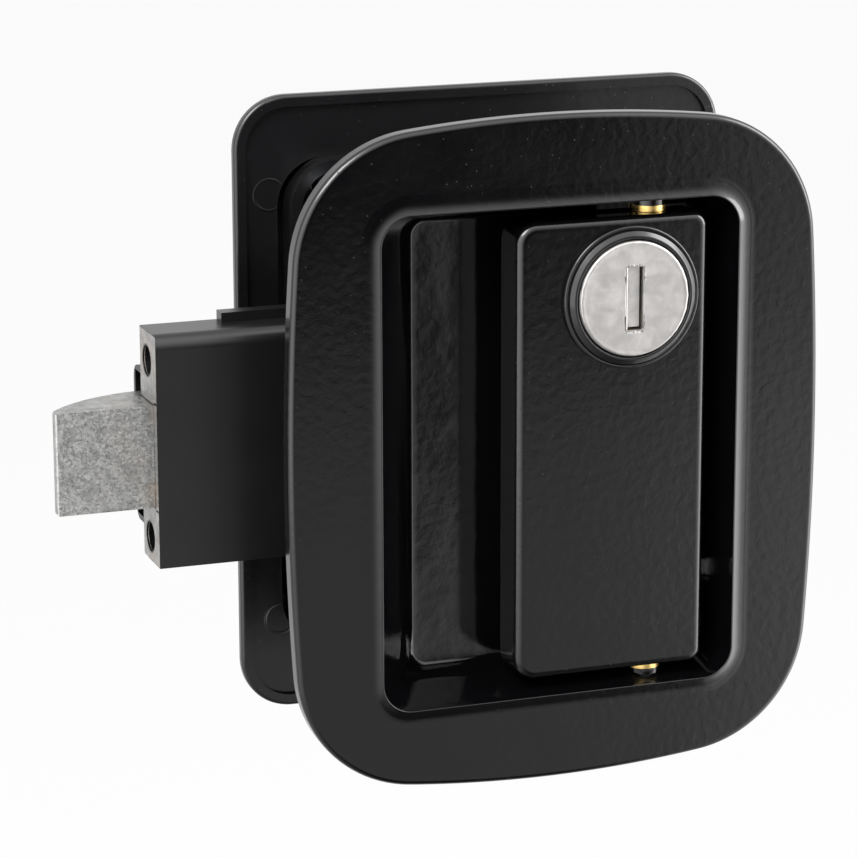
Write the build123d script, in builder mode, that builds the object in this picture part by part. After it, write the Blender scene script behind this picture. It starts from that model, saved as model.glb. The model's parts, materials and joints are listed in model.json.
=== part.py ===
from build123d import *
import os
from math import asin, atan2, cos, degrees, hypot, radians, sin, tan

# Flush deadbolt lock for a trailer door, in millimetres.
# The origin is the centre of the door cut-out in the plane of the outer door skin.
# X runs away from the door's free edge, Y runs through the door from outside to inside, Z is up.

os.makedirs("parts", exist_ok=True)

# Exterior flange
flange_width = 100.0
flange_height = 120.65
flange_thickness = 3.2
flange_face_wall = 1.8
flange_rim = 3.0
flange_side_bow = 2.9
flange_end_bow = 4.6
flange_corner_radius = 23.5
flange_edge_radius = 1.0
gasket_clearance = 0.3

# Recess behind the flange
opening_width = 66.8
opening_height = 88.8
opening_corner_radius = 5.5
bead_width = 2.7
bead_height = 0.9
bead_crest = 0.7
bead_mouth_radius = 0.4
pan_depth = 13.6
pan_floor_wall = 1.8
pan_side_wall = 1.3
pan_end_wall = 2.2
pan_left_run = 10.0
pan_right_run = 2.4
pan_end_run = 3.4
pan_floor_corner = 3.0

# Paddle handle in the recess
paddle_width = 36.3
paddle_height = 83.0
paddle_right_gap = 5.3
paddle_face_wall = 2.4
paddle_side_wall = 1.8
paddle_body_depth = 7.7
paddle_left_radius = 4.0
paddle_right_radius = 2.5
paddle_edge_radius = 1.5
paddle_swing = 35.0

# Paddle hinge: two short pins on one vertical axis
hinge_inset = 9.4
hinge_y = 2.2
pin_radius = 1.5
pin_running_clearance = 0.04
pin_head_radius = 2.5
pin_head_height = 0.9
hinge_lug_radius = 2.9
hinge_boss_radius = 3.6
upper_pin_reach = 8.6
lower_pin_reach = 14.0
hinge_lug_height = 3.4
washer_radius = 3.1
washer_thickness = 1.1
paddle_spring_wire = 0.5
paddle_spring_coil = 2.4
paddle_spring_turns = 4.25
paddle_spring_pitch = 1.12

# Key cylinder in the paddle
cylinder_inset = 15.0
cylinder_z = 27.3
cylinder_ring_radius = 12.8
cylinder_ring_height = 1.9
cylinder_ring_top_radius = 11.3
plug_face_radius = 10.3
plug_face_thickness = 1.5
plug_face_proud = 0.35
plug_face_gap = 0.25
barrel_radius = 8.5
barrel_depth = 8.4
plug_radius = 6.3
plug_clearance = 0.05
keyway_width = 3.4
keyway_height = 11.4
shutter_thickness = 0.5
shutter_clearance = 0.12
shutter_free_gap = 0.6
shutter_recess = 0.75
wafer_count = 4
wafer_thickness = 0.7
wafer_pitch = 1.4
wafer_width = 7.0
wafer_height = 10.4
wafer_clearance = 0.1
cam_thickness = 1.4
cam_width = 8.0
cam_tail_width = 4.4
clip_thickness = 0.9

# Latch bolt and its case
case_gap = 1.8
case_wall = 1.8
backset = 68.6
nose_height = 41.8
nose_centre_z = 1.8
nose_depth = 10.5
nose_front_radius = 2.6
nose_back_radius = 3.0
nose_rib_length = 21.5
nose_rib_width = 3.0
nose_rib_height = 1.7
case_body_left = 33.0
case_right_margin = 10.8
case_body_bottom = 35.5
case_corner_radius = 3.0
edge_screw_radius = 2.75
edge_screw_spacing = 32.0
edge_screw_centre_z = 1.3
edge_screw_depth = 20.0
edge_screw_setback = 6.0
bolt_height = 18.4
bolt_thickness = 12.0
bolt_centre_z = 0.8
bolt_throw = 17.7
bolt_tip_thickness = 1.9
bolt_bevel_length = 18.0
bolt_head_length = 39.8
bolt_clearance = 0.15
bolt_stroke = 17.5
tail_thickness = 3.4
tail_height = 13.0
tail_end_margin = 4.8
bolt_spring_wire = 0.6
bolt_spring_coil = 2.7
bolt_spring_turns = 7.0
spring_rib_offset = 23.7
spring_rib_thickness = 3.0
spring_guide_radius = 1.6
spring_guide_length = 19.0

# Retractor lever, which turns the push of the paddle arm into the pull on the bolt
lever_thickness = 3.0
lever_gap = 1.7
lever_upper_arm = 20.0
lever_hub_radius = 5.0
lever_upper_radius = 4.0
lever_knob_radius = 2.7
lever_neck_width = 3.4
lever_pivot_radius = 2.5
lever_drive_radius = 2.0
lever_drive_clearance = 0.3
push_gap = 0.3
clip_radius = 4.4

# Paddle arm
arm_thickness = 3.2
arm_centre_z = -29.2
arm_length = 18.0
arm_tip_radius = 2.2
arm_root_radius = 3.6
arm_plate_thickness = 1.6
slot_clearance = 0.8

# Deadlock
deadlock_offset = 19.7
deadlock_z = 14.5
deadlock_thickness = 2.4
deadlock_hub_radius = 3.5
deadlock_pin_radius = 1.6
deadlock_nose_width = 3.0
deadlock_nose_clearance = 0.3
spindle_offset = 0.7
spindle_radius = 3.0
crank_radius = 3.6
crank_pin_radius = 1.5
crank_disc_radius = 5.4
crank_disc_thickness = 2.0
crank_swing = 90.0

# Interior half
door_thickness = 46.0
block_side_margin = 9.55
plate_height = 116.9
plate_centre_x = 3.6
plate_thickness = 2.6
plate_recess = 0.9
plate_rim = 2.2
plate_corner_radius = 10.0
plate_edge_radius = 1.0
plate_front_radius = 0.7
collar_height = 3.5
collar_wall = 2.0
collar_corner_radius = 9.0
block_post_margin = 11.5
block_end_margin = 9.45
block_rise = 9.4
block_wall = 1.9
block_corner_radius = 11.0
block_draft = 6.0
pocket_left_inset = 5.5
pocket_right_reach = 12.0
pocket_bottom = 35.6
pocket_top = 0.6
pocket_depth = 9.2
pocket_wall = 1.8
handle_left = 10.0
handle_gap = 0.8
handle_face_wall = 2.2
handle_side_wall = 1.8
handle_depth = 5.6
handle_pin_offset = 0.3
handle_pin_depth = 5.2
handle_swing = 21.0
interior_arm_tip_radius = 2.2
interior_arm_clearance = 0.5
thumb_radius = 10.0
thumb_base_height = 2.5
thumb_grip_width = 5.6
thumb_grip_length = 18.5
thumb_grip_height = 9.5
thumb_gap = 0.2
thumb_bearing_clearance = 0.05

# Screws
post_radius = 4.0
post_reach = 30.0
post_side_inset = 6.4
post_end_inset = 3.4
mounting_screw_radius = 2.1
mounting_head_radius = 4.0
mounting_head_height = 2.4
mounting_screw_engagement = 14.0
screw_hole_clearance = 0.25
case_screw_radius = 2.0
case_head_radius = 3.5
case_head_height = 2.2
case_lug_radius = 4.4
case_lug_thickness = 3.0
case_lug_inset = 11.0
case_lug_overhang = 4.3
cover_screw_radius = 1.4
cover_boss_radius = 3.0
cover_head_radius = 2.7
cover_head_height = 1.6
cover_screw_length = 7.0
cover_thickness = 1.0
channel_top_margin = 5.0
small_screw_radius = 1.4
small_head_radius = 2.6
small_head_height = 1.4

# Depths along Y that follow from the sizes above
flange_front = -flange_thickness
pan_floor = pan_depth - flange_thickness
pan_back = pan_floor + pan_floor_wall
case_front = pan_back + case_gap
case_inside = case_front + case_wall
nose_back = case_front + nose_depth
bolt_front = case_inside + bolt_clearance
bolt_back = bolt_front + bolt_thickness
case_back = bolt_back + 2 * bolt_clearance
cover_back = case_back + cover_thickness
paddle_inside = flange_front + paddle_face_wall
paddle_back = flange_front + paddle_body_depth
tail_back = bolt_back - 1.5
tail_front = tail_back - tail_thickness
plate_floor = door_thickness + plate_recess
plate_back = door_thickness + plate_thickness
block_face = plate_back + block_rise
pocket_floor = block_face - pocket_depth
handle_back = block_face - handle_depth
handle_pin_y = block_face - handle_pin_depth

# Places in X and Z that follow from the sizes above
paddle_right = opening_width / 2 - paddle_right_gap
paddle_left = paddle_right - paddle_width
paddle_centre_x = (paddle_left + paddle_right) / 2
hinge_x = paddle_right - hinge_inset
cylinder_x = paddle_right - cylinder_inset
spring_rib_x = hinge_x - spring_rib_offset
deadlock_x = hinge_x - deadlock_offset
spindle_x = hinge_x - spindle_offset
handle_pin_x = hinge_x + handle_pin_offset
case_body_right = hinge_x + case_right_margin
post_x = opening_width / 2 - post_side_inset
post_z = opening_height / 2 - post_end_inset
block_width = 2 * (post_x + block_post_margin)
block_height = plate_height - 2 * block_end_margin
plate_width = block_width + 2 * block_side_margin
pocket_left = block_width / 2 - pocket_left_inset
pocket_right = handle_pin_x + pocket_right_reach
case_lug_x = post_x - case_lug_inset
paddle_top = paddle_height / 2
nose_top = nose_centre_z + nose_height / 2
nose_bottom = nose_centre_z - nose_height / 2
bolt_top = bolt_centre_z + bolt_height / 2
bolt_bottom = bolt_centre_z - bolt_height / 2
bolt_tip_x = -backset - bolt_throw
bolt_shoulder_x = bolt_tip_x + bolt_head_length
case_body_width = case_body_right + case_body_left
case_body_height = nose_top + case_body_bottom
cavity_left = -case_body_left + case_wall
cavity_right = case_body_right - case_wall
cavity_bottom = -case_body_bottom + case_wall
cavity_top = nose_top - case_wall

# Swing of the arm tip: it starts as far right of the hinge as it ends left of it
arm_tilt = radians(paddle_swing / 2)
arm_tip_x = hinge_x + arm_length * sin(arm_tilt)
arm_tip_y = hinge_y + arm_length * cos(arm_tilt)

# The left side of the arm pushes the lever: nearest at the lever's front at first, at the tip at last
lever_front = case_inside + lever_gap
push_start = arm_tip_x - arm_tip_radius / cos(arm_tilt) - (arm_tip_y - lever_front) * tan(arm_tilt)
push_end = 2 * hinge_x - arm_tip_x - arm_tip_radius

# The lever turns the travel of the arm into the stroke of the bolt
lever_tilt = asin(bolt_stroke / 2 / lever_upper_arm)
lever_back = lever_front + lever_thickness
lever_lower_arm = (push_start - push_end) / 2 / sin(lever_tilt)
lever_x = push_start - push_gap - lever_knob_radius - lever_lower_arm * sin(lever_tilt)
lever_z = arm_centre_z + lever_lower_arm * cos(lever_tilt)
drive_x = lever_x - lever_upper_arm * sin(lever_tilt)
drive_z = lever_z + lever_upper_arm * cos(lever_tilt)
drive_rise = lever_upper_arm * (1 - cos(lever_tilt))
tail_end_x = drive_x + tail_end_margin
tail_top = drive_z + drive_rise / 2 + tail_height / 2
tail_bottom = tail_top - tail_height

# Half swing of the deadlock lever under the crank pin
crank_x = spindle_x - crank_radius * cos(radians(crank_swing / 2))
crank_rise = crank_radius * sin(radians(crank_swing / 2))
deadlock_tilt = atan2(crank_rise, crank_x - deadlock_x)
crank_reach = hypot(crank_rise, crank_x - deadlock_x)
crank_near = spindle_x - crank_radius - deadlock_x
deadlock_front = tail_front

# The interior arm swings as far each side of its hinge
interior_arm_tip_y = lever_back + interior_arm_clearance + interior_arm_tip_radius
interior_arm_length = handle_pin_y - interior_arm_tip_y
handle_tilt = radians(handle_swing / 2)
interior_arm_tip_x = handle_pin_x + interior_arm_length * sin(handle_tilt)

case_lug_top_z = nose_top + case_lug_overhang
case_lug_bottom_z = -case_body_bottom - case_lug_overhang
case_screw_places = [
    (-case_lug_x, case_lug_top_z),
    (case_lug_x, case_lug_top_z),
    (-case_lug_x, case_lug_bottom_z),
    (case_lug_x, case_lug_bottom_z),
]
post_places = [(-post_x, -post_z), (post_x, -post_z), (-post_x, post_z), (post_x, post_z)]
cover_boss_inset = cover_boss_radius + 0.5
cover_screw_places = [
    (cavity_left + cover_boss_inset, cavity_top - cover_boss_inset),
    (cavity_left + cover_boss_inset, cavity_bottom + cover_boss_inset),
    (cavity_right - cover_boss_radius + 0.6, lever_z + cover_boss_radius),
    (deadlock_x - deadlock_hub_radius - 5.0, cavity_top - cover_boss_inset),
]


def facing(depth):
    """Plane across the door at a depth, drawn in X and Z as seen from outside."""
    return Plane.XZ.offset(-depth)


def tilted(x, depth, z, angle):
    """Plane like facing, with its centre at x and z and its X axis turned up by an angle in radians."""
    return Plane(origin=(x, depth, z), x_dir=(cos(angle), 0, sin(angle)), z_dir=(0, -1, 0))


def bar(x, z, radius, near, far, mode=Mode.ADD):
    """Round bar or hole along Y between two depths."""
    with BuildSketch(facing(near)) as section:
        with Locations((x, z)):
            Circle(radius)
    extrude(section.sketch, amount=near - far, mode=mode)


def block(x_limits, y_limits, z_limits, mode=Mode.ADD):
    """Straight block or pocket between limits in X, Y and Z."""
    limits = (x_limits, y_limits, z_limits)
    centre = tuple((low + high) / 2 for low, high in limits)
    with Locations(centre):
        Box(*(high - low for low, high in limits), mode=mode)


def upright(x, y, radius, low, high, mode=Mode.ADD):
    """Round bar or hole along Z between two heights."""
    with BuildSketch(Plane.XY.offset(low)) as section:
        with Locations((x, y)):
            Circle(radius)
    extrude(section.sketch, amount=high - low, mode=mode)


def pan_half_height(depth):
    """Half height of the inside of the recess at a depth."""
    return opening_height / 2 - pan_end_run * (depth - flange_front) / pan_depth


with BuildSketch() as flange_face:
    side_x = flange_width / 2 - flange_side_bow
    end_z = flange_height / 2 - flange_end_bow
    with BuildLine():
        ThreePointArc((-side_x, -end_z), (-flange_width / 2, 0), (-side_x, end_z))
        ThreePointArc((-side_x, end_z), (0, flange_height / 2), (side_x, end_z))
        ThreePointArc((side_x, end_z), (flange_width / 2, 0), (side_x, -end_z))
        ThreePointArc((side_x, -end_z), (0, -flange_height / 2), (-side_x, -end_z))
    make_face()
    fillet(flange_face.vertices(), flange_corner_radius)

pan_outer_width = opening_width + 2 * pan_side_wall
pan_outer_height = opening_height + 2 * pan_end_wall
floor_width = opening_width - pan_left_run - pan_right_run
floor_height = opening_height - 2 * pan_end_run
floor_centre_x = (pan_left_run - pan_right_run) / 2
arm_slot_left = hinge_x - (arm_tip_x - hinge_x) - arm_tip_radius - slot_clearance
arm_slot_right = arm_tip_x + arm_tip_radius + slot_clearance / 2
arm_slot_x = (arm_slot_left, arm_slot_right)
arm_slot_half = arm_thickness / 2 + slot_clearance / 2
arm_slot_z = (arm_centre_z - arm_slot_half, arm_centre_z + arm_slot_half)
hinge_boss_end = pan_outer_height / 2 - 0.3
washer_low = paddle_top + 0.1
washer_high = washer_low + washer_thickness
keeper_z = pan_half_height(paddle_back) + 1.0

# Exterior housing: flange, raised bead, recess, hinge bosses and screw posts in one casting
with BuildPart() as exterior_housing:
    with BuildSketch(facing(flange_front)):
        add(flange_face.sketch)
    extrude(amount=-flange_thickness)
    front_edges = exterior_housing.faces().sort_by(Axis.Y)[0].edges()
    fillet(front_edges, flange_edge_radius)
    with BuildSketch(facing(0)):
        add(flange_face.sketch)
        offset(amount=-flange_rim, mode=Mode.REPLACE)
    extrude(amount=flange_thickness - flange_face_wall, mode=Mode.SUBTRACT)
    with BuildSketch(facing(flange_front)):
        RectangleRounded(
            opening_width + 2 * bead_width,
            opening_height + 2 * bead_width,
            opening_corner_radius + bead_width,
        )
    extrude(amount=bead_height, taper=degrees(atan2(bead_width - bead_crest, bead_height)))
    with BuildSketch(facing(flange_front + flange_face_wall / 2)):
        RectangleRounded(pan_outer_width, pan_outer_height, opening_corner_radius)
    with BuildSketch(facing(pan_back)):
        with Locations((floor_centre_x, 0)):
            RectangleRounded(
                floor_width + 2 * pan_end_wall,
                floor_height + 2 * pan_end_wall,
                pan_floor_corner + pan_end_wall,
            )
    loft(ruled=True)
    with BuildSketch(facing(hinge_y)):
        with Locations(*post_places):
            Circle(post_radius)
    extrude(amount=hinge_y - post_reach)
    with BuildSketch(facing(hinge_y)):
        with Locations(*case_screw_places):
            Circle(case_lug_radius)
    extrude(amount=hinge_y - case_front)
    upright(hinge_x, hinge_y, hinge_boss_radius, -hinge_boss_end, hinge_boss_end)
    with BuildSketch(facing(flange_front - bead_height)):
        RectangleRounded(opening_width, opening_height, opening_corner_radius)
    extrude(amount=-bead_height, mode=Mode.SUBTRACT)
    with BuildSketch(facing(flange_front)):
        RectangleRounded(opening_width, opening_height, opening_corner_radius)
    with BuildSketch(facing(pan_floor)):
        with Locations((floor_centre_x, 0)):
            RectangleRounded(floor_width, floor_height, pan_floor_corner)
    loft(ruled=True, mode=Mode.SUBTRACT)
    mouth_edges = exterior_housing.faces().sort_by(Axis.Y)[0].inner_wires()[0].edges()
    fillet(mouth_edges, bead_mouth_radius)
    block(arm_slot_x, (pan_floor - 1, pan_back + 1), arm_slot_z, mode=Mode.SUBTRACT)
    block(
        (cylinder_x - cam_width / 2, cylinder_x + cam_width / 2),
        (paddle_back - 1.6, paddle_back + 0.4),
        (paddle_top + 0.5, keeper_z),
    )
    for low, high in ((washer_high, hinge_boss_end), (-hinge_boss_end, -washer_high)):
        upright(hinge_x, hinge_y, washer_radius, low, high)
    upright(hinge_x, hinge_y, washer_radius + 0.3, -washer_high, washer_high, mode=Mode.SUBTRACT)
    upright(hinge_x, hinge_y, pin_radius, -hinge_boss_end, hinge_boss_end, mode=Mode.SUBTRACT)
    with BuildSketch(facing(post_reach)):
        with Locations(*post_places):
            Circle(mounting_screw_radius)
    extrude(amount=mounting_screw_engagement + 4, mode=Mode.SUBTRACT)
    with BuildSketch(facing(case_front)):
        with Locations(*case_screw_places):
            Circle(case_screw_radius)
    extrude(amount=case_gap + pan_floor_wall * 0.4, mode=Mode.SUBTRACT)
exterior_housing.part.label = "exterior_housing"
export_step(exterior_housing.part, "parts/exterior_housing.step")

# Foam ring in the back of the flange
with BuildPart() as exterior_gasket:
    with BuildSketch(facing(0)):
        add(flange_face.sketch)
        offset(amount=-flange_rim - gasket_clearance, mode=Mode.REPLACE)
        RectangleRounded(
            pan_outer_width + 2 * gasket_clearance,
            pan_outer_height + 2 * gasket_clearance,
            opening_corner_radius + gasket_clearance,
            mode=Mode.SUBTRACT,
        )
        with Locations((hinge_x, 0)):
            Rectangle(
                2 * hinge_boss_radius + 1,
                2 * (hinge_boss_end + pin_head_height) + 1,
                mode=Mode.SUBTRACT,
            )
    extrude(amount=flange_thickness - flange_face_wall)
exterior_gasket.part.label = "exterior_gasket"
export_step(exterior_gasket.part, "parts/exterior_gasket.step")

# Paddle: a shell with a sleeve for the key cylinder and two hinge lugs
with BuildPart() as paddle:
    with BuildSketch(facing(flange_front)) as paddle_face:
        with Locations((paddle_centre_x, 0)):
            Rectangle(paddle_width, paddle_height)
        fillet(paddle_face.vertices().group_by(Axis.X)[0], paddle_left_radius)
        fillet(paddle_face.vertices().group_by(Axis.X)[-1], paddle_right_radius)
    extrude(amount=-paddle_body_depth)
    front_edges = paddle.faces().sort_by(Axis.Y)[0].edges()
    fillet(front_edges, paddle_edge_radius)
    with BuildSketch(facing(paddle_back)):
        with Locations((paddle_centre_x, 0)):
            RectangleRounded(
                paddle_width - 2 * paddle_side_wall,
                paddle_height - 2 * paddle_side_wall,
                paddle_left_radius - paddle_side_wall,
            )
    extrude(amount=paddle_body_depth - paddle_face_wall, mode=Mode.SUBTRACT)
    bar(cylinder_x, cylinder_z, barrel_radius + 2.0, paddle_inside, paddle_inside + 3.2)
    for lug_z in (paddle_top - hinge_lug_height, -paddle_top):
        upright(hinge_x, hinge_y, hinge_lug_radius, lug_z, lug_z + hinge_lug_height)
        block(
            (hinge_x - hinge_lug_radius, hinge_x + hinge_lug_radius),
            (paddle_inside, hinge_y),
            (lug_z, lug_z + hinge_lug_height),
        )
    bar(cylinder_x, cylinder_z, barrel_radius, flange_front, paddle_back, mode=Mode.SUBTRACT)
    upright(
        hinge_x,
        hinge_y,
        pin_radius + pin_running_clearance,
        -paddle_top,
        paddle_top,
        mode=Mode.SUBTRACT,
    )
paddle.part.label = "paddle"
export_step(paddle.part, "parts/paddle.step")

# Hinge pins, pressed in from outside the recess, each with a flat head
with BuildPart() as upper_hinge_pin:
    upright(hinge_x, hinge_y, pin_radius, hinge_boss_end - upper_pin_reach, hinge_boss_end)
    upright(hinge_x, hinge_y, pin_head_radius, hinge_boss_end, hinge_boss_end + pin_head_height)
upper_hinge_pin.part.label = "upper_hinge_pin"
export_step(upper_hinge_pin.part, "parts/upper_hinge_pin.step")

with BuildPart() as lower_hinge_pin:
    upright(hinge_x, hinge_y, pin_radius, -hinge_boss_end, lower_pin_reach - hinge_boss_end)
    upright(hinge_x, hinge_y, pin_head_radius, -hinge_boss_end - pin_head_height, -hinge_boss_end)
lower_hinge_pin.part.label = "lower_hinge_pin"
export_step(lower_hinge_pin.part, "parts/lower_hinge_pin.step")

# Plated washers that fill the gap between the paddle and the recess on each pin
with BuildPart() as hinge_washers:
    for side in (-1, 1):
        low, high = sorted((side * washer_low, side * washer_high))
        upright(hinge_x, hinge_y, washer_radius, low, high)
        upright(hinge_x, hinge_y, pin_radius + pin_running_clearance, low, high, mode=Mode.SUBTRACT)
hinge_washers.part.label = "hinge_washers"
export_step(hinge_washers.part, "parts/hinge_washers.step")


def coil(x, y, low, mean_radius, wire, turns, pitch):
    """Torsion coil about a Z axis; it starts nearest the outside of the door."""
    start = Plane(origin=(x, y, low), x_dir=(0, -1, 0), z_dir=(0, 0, 1))
    with BuildPart() as spring:
        with BuildLine(start) as path:
            Helix(pitch, pitch * turns, mean_radius)
        with BuildSketch(Plane(origin=path.line @ 0, z_dir=path.line % 0)):
            Circle(wire)
        sweep(path=path.line, is_frenet=True)
    return spring.part


# Torsion spring on the lower pin: one leg lies on the paddle, the other on the pan floor
spring_low = hinge_lug_height - paddle_top + paddle_spring_wire + 0.1
spring_high = spring_low + paddle_spring_turns * paddle_spring_pitch
leg_front_y = hinge_y - paddle_spring_coil
paddle_spring_leg = 14.0
with BuildPart() as paddle_spring:
    add(
        coil(
            hinge_x,
            hinge_y,
            spring_low,
            paddle_spring_coil,
            paddle_spring_wire,
            paddle_spring_turns,
            paddle_spring_pitch,
        )
    )
    with BuildSketch(Plane.YZ.offset(hinge_x + paddle_spring_wire)):
        with Locations((leg_front_y, spring_low)):
            Circle(paddle_spring_wire)
    extrude(amount=-paddle_spring_leg)
    bar(
        hinge_x + paddle_spring_coil,
        spring_high,
        paddle_spring_wire,
        hinge_y - paddle_spring_wire,
        pan_floor - 0.1,
    )
paddle_spring.part.label = "paddle_spring"
export_step(paddle_spring.part, "parts/paddle_spring.step")

# Steel arm on the paddle that reaches through the pan floor to the retractor lever
arm_low = arm_centre_z - arm_thickness / 2
arm_plate_back = paddle_inside + arm_plate_thickness
arm_plate_left_inset = 2.6
arm_plate_hinge_gap = 3.0
arm_foot_width = 14.0
arm_foot_depth = 3.2
arm_foot_x = hinge_x - 6.7
arm_top = arm_centre_z + arm_thickness / 2
arm_screw_left_inset = 6.0
arm_screw_hinge_gap = 9.0
arm_screw_z = arm_top + small_head_radius + 0.2
arm_screw_places = [
    (paddle_left + arm_screw_left_inset, arm_screw_z),
    (hinge_x - arm_screw_hinge_gap, arm_screw_z),
]
with BuildPart() as paddle_arm:
    with BuildSketch(Plane.XY.offset(arm_low)):
        with Locations((hinge_x, hinge_y)):
            Circle(arm_root_radius - 1.2)
        with Locations((arm_tip_x, arm_tip_y)):
            Circle(arm_tip_radius)
        make_hull()
        with Locations((arm_foot_x, paddle_inside + arm_foot_depth / 2)):
            Rectangle(arm_foot_width, arm_foot_depth)
    extrude(amount=arm_thickness)
    block(
        (paddle_left + arm_plate_left_inset, hinge_x - arm_plate_hinge_gap),
        (paddle_inside, arm_plate_back),
        (arm_low, arm_screw_z + small_head_radius + 0.4),
    )
    with BuildSketch(facing(arm_plate_back)):
        with Locations(*arm_screw_places):
            Circle(small_screw_radius + 0.1)
    extrude(amount=arm_plate_thickness, mode=Mode.SUBTRACT)
paddle_arm.part.label = "paddle_arm"
export_step(paddle_arm.part, "parts/paddle_arm.step")

with BuildPart() as arm_screws:
    for x, z in arm_screw_places:
        bar(x, z, small_screw_radius, paddle_inside, arm_plate_back)
        bar(x, z, small_head_radius, arm_plate_back, arm_plate_back + small_head_height)
arm_screws.part.label = "arm_screws"
export_step(arm_screws.part, "parts/arm_screws.step")

# Key cylinder: turned parts about the cylinder's own axis
cylinder_axis = Axis((cylinder_x, 0, cylinder_z), (0, 1, 0))
cylinder_plane = Plane(origin=(cylinder_x, 0, cylinder_z), x_dir=(1, 0, 0), z_dir=(0, 0, 1))
ring_front = flange_front - cylinder_ring_height
plug_front = ring_front - plug_face_proud
plug_shoulder = plug_front + plug_face_thickness
barrel_back = flange_front + barrel_depth
bore_radius = plug_radius + plug_clearance
recess_radius = plug_face_radius + plug_face_gap
with BuildPart() as cylinder_shell:
    with BuildSketch(cylinder_plane):
        with BuildLine():
            Polyline(
                (bore_radius, plug_shoulder + plug_clearance),
                (recess_radius, plug_shoulder + plug_clearance),
                (recess_radius, ring_front),
                (cylinder_ring_top_radius, ring_front),
                (cylinder_ring_radius, flange_front - 0.4),
                (cylinder_ring_radius, flange_front),
                (barrel_radius, flange_front),
                (barrel_radius, barrel_back),
                (bore_radius, barrel_back),
                close=True,
            )
        make_face()
    revolve(axis=cylinder_axis)
    with BuildSketch(facing(barrel_back - clip_thickness - 0.7)):
        with Locations((cylinder_x, cylinder_z)):
            Circle(barrel_radius)
            Circle(barrel_radius - 0.7, mode=Mode.SUBTRACT)
    extrude(amount=-clip_thickness - 0.1, mode=Mode.SUBTRACT)
cylinder_shell.part.label = "cylinder_shell"
export_step(cylinder_shell.part, "parts/cylinder_shell.step")

# Horseshoe clip in the groove behind the paddle's sleeve
with BuildPart() as cylinder_clip:
    with BuildSketch(facing(barrel_back - clip_thickness - 0.65)):
        with Locations((cylinder_x, cylinder_z)):
            Circle(barrel_radius + 2.0)
            Circle(barrel_radius - 0.65, mode=Mode.SUBTRACT)
            with Locations((-barrel_radius, 0)):
                Rectangle(barrel_radius, 1.4 * barrel_radius, mode=Mode.SUBTRACT)
    extrude(amount=-clip_thickness)
cylinder_clip.part.label = "cylinder_clip"
export_step(cylinder_clip.part, "parts/cylinder_clip.step")

# Plug with a round face, a keyway, slots for the wafers and a square tail for the cam
cam_front = barrel_back + 0.2
wafer_start = plug_shoulder + 3.0
keyway_back = wafer_start + wafer_count * wafer_pitch
shutter_front = plug_front + shutter_recess
shutter_axis_x = cylinder_x - keyway_width / 2 + shutter_clearance + shutter_thickness / 2
shutter_axis_y = shutter_front + shutter_thickness / 2
trunnion_radius = 0.35
wafer_starts = [wafer_start + index * wafer_pitch for index in range(wafer_count)]
with BuildPart() as cylinder_plug:
    with BuildSketch(cylinder_plane):
        with BuildLine():
            Polyline(
                (0, plug_front),
                (plug_face_radius - 0.4, plug_front),
                (plug_face_radius, plug_front + 0.4),
                (plug_face_radius, plug_shoulder),
                (plug_radius, plug_shoulder),
                (plug_radius, barrel_back),
                (0, barrel_back),
                close=True,
            )
        make_face()
    revolve(axis=cylinder_axis)
    block(
        (cylinder_x - cam_tail_width / 2, cylinder_x + cam_tail_width / 2),
        (barrel_back, cam_front + cam_thickness),
        (cylinder_z - cam_tail_width / 2, cylinder_z + cam_tail_width / 2),
    )
    block(
        (cylinder_x - keyway_width / 2, cylinder_x + keyway_width / 2),
        (plug_front, keyway_back),
        (cylinder_z - keyway_height / 2, cylinder_z + keyway_height / 2),
        mode=Mode.SUBTRACT,
    )
    for start in wafer_starts:
        block(
            (cylinder_x - wafer_width / 2 - wafer_clearance, cylinder_x + wafer_width / 2 + wafer_clearance),
            (start, start + wafer_thickness + wafer_clearance),
            (cylinder_z - plug_radius, cylinder_z + plug_radius),
            mode=Mode.SUBTRACT,
        )
    upright(
        shutter_axis_x,
        shutter_axis_y,
        trunnion_radius + pin_running_clearance,
        cylinder_z - keyway_height / 2 - 0.8,
        cylinder_z + keyway_height / 2 + 0.8,
        mode=Mode.SUBTRACT,
    )
cylinder_plug.part.label = "cylinder_plug"
export_step(cylinder_plug.part, "parts/cylinder_plug.step")

with BuildPart() as wafer_tumblers:
    for start in wafer_starts:
        wafer_centre_y = start + (wafer_thickness + wafer_clearance) / 2
        with Locations((cylinder_x, wafer_centre_y, cylinder_z)):
            Box(wafer_width, wafer_thickness, wafer_height)
            Box(keyway_width + 0.4, wafer_thickness, wafer_height * 0.7, mode=Mode.SUBTRACT)
wafer_tumblers.part.label = "wafer_tumblers"
export_step(wafer_tumblers.part, "parts/wafer_tumblers.step")

with BuildPart() as keyway_shutter:
    block(
        (
            cylinder_x - keyway_width / 2 + shutter_clearance,
            cylinder_x + keyway_width / 2 - shutter_free_gap,
        ),
        (shutter_front, shutter_front + shutter_thickness),
        (
            cylinder_z - keyway_height / 2 + shutter_free_gap,
            cylinder_z + keyway_height / 2 - shutter_clearance,
        ),
    )
    upright(
        shutter_axis_x,
        shutter_axis_y,
        trunnion_radius,
        cylinder_z - keyway_height / 2 - 0.7,
        cylinder_z + keyway_height / 2 + 0.7,
    )
keyway_shutter.part.label = "keyway_shutter"
export_step(keyway_shutter.part, "parts/keyway_shutter.step")

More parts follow.
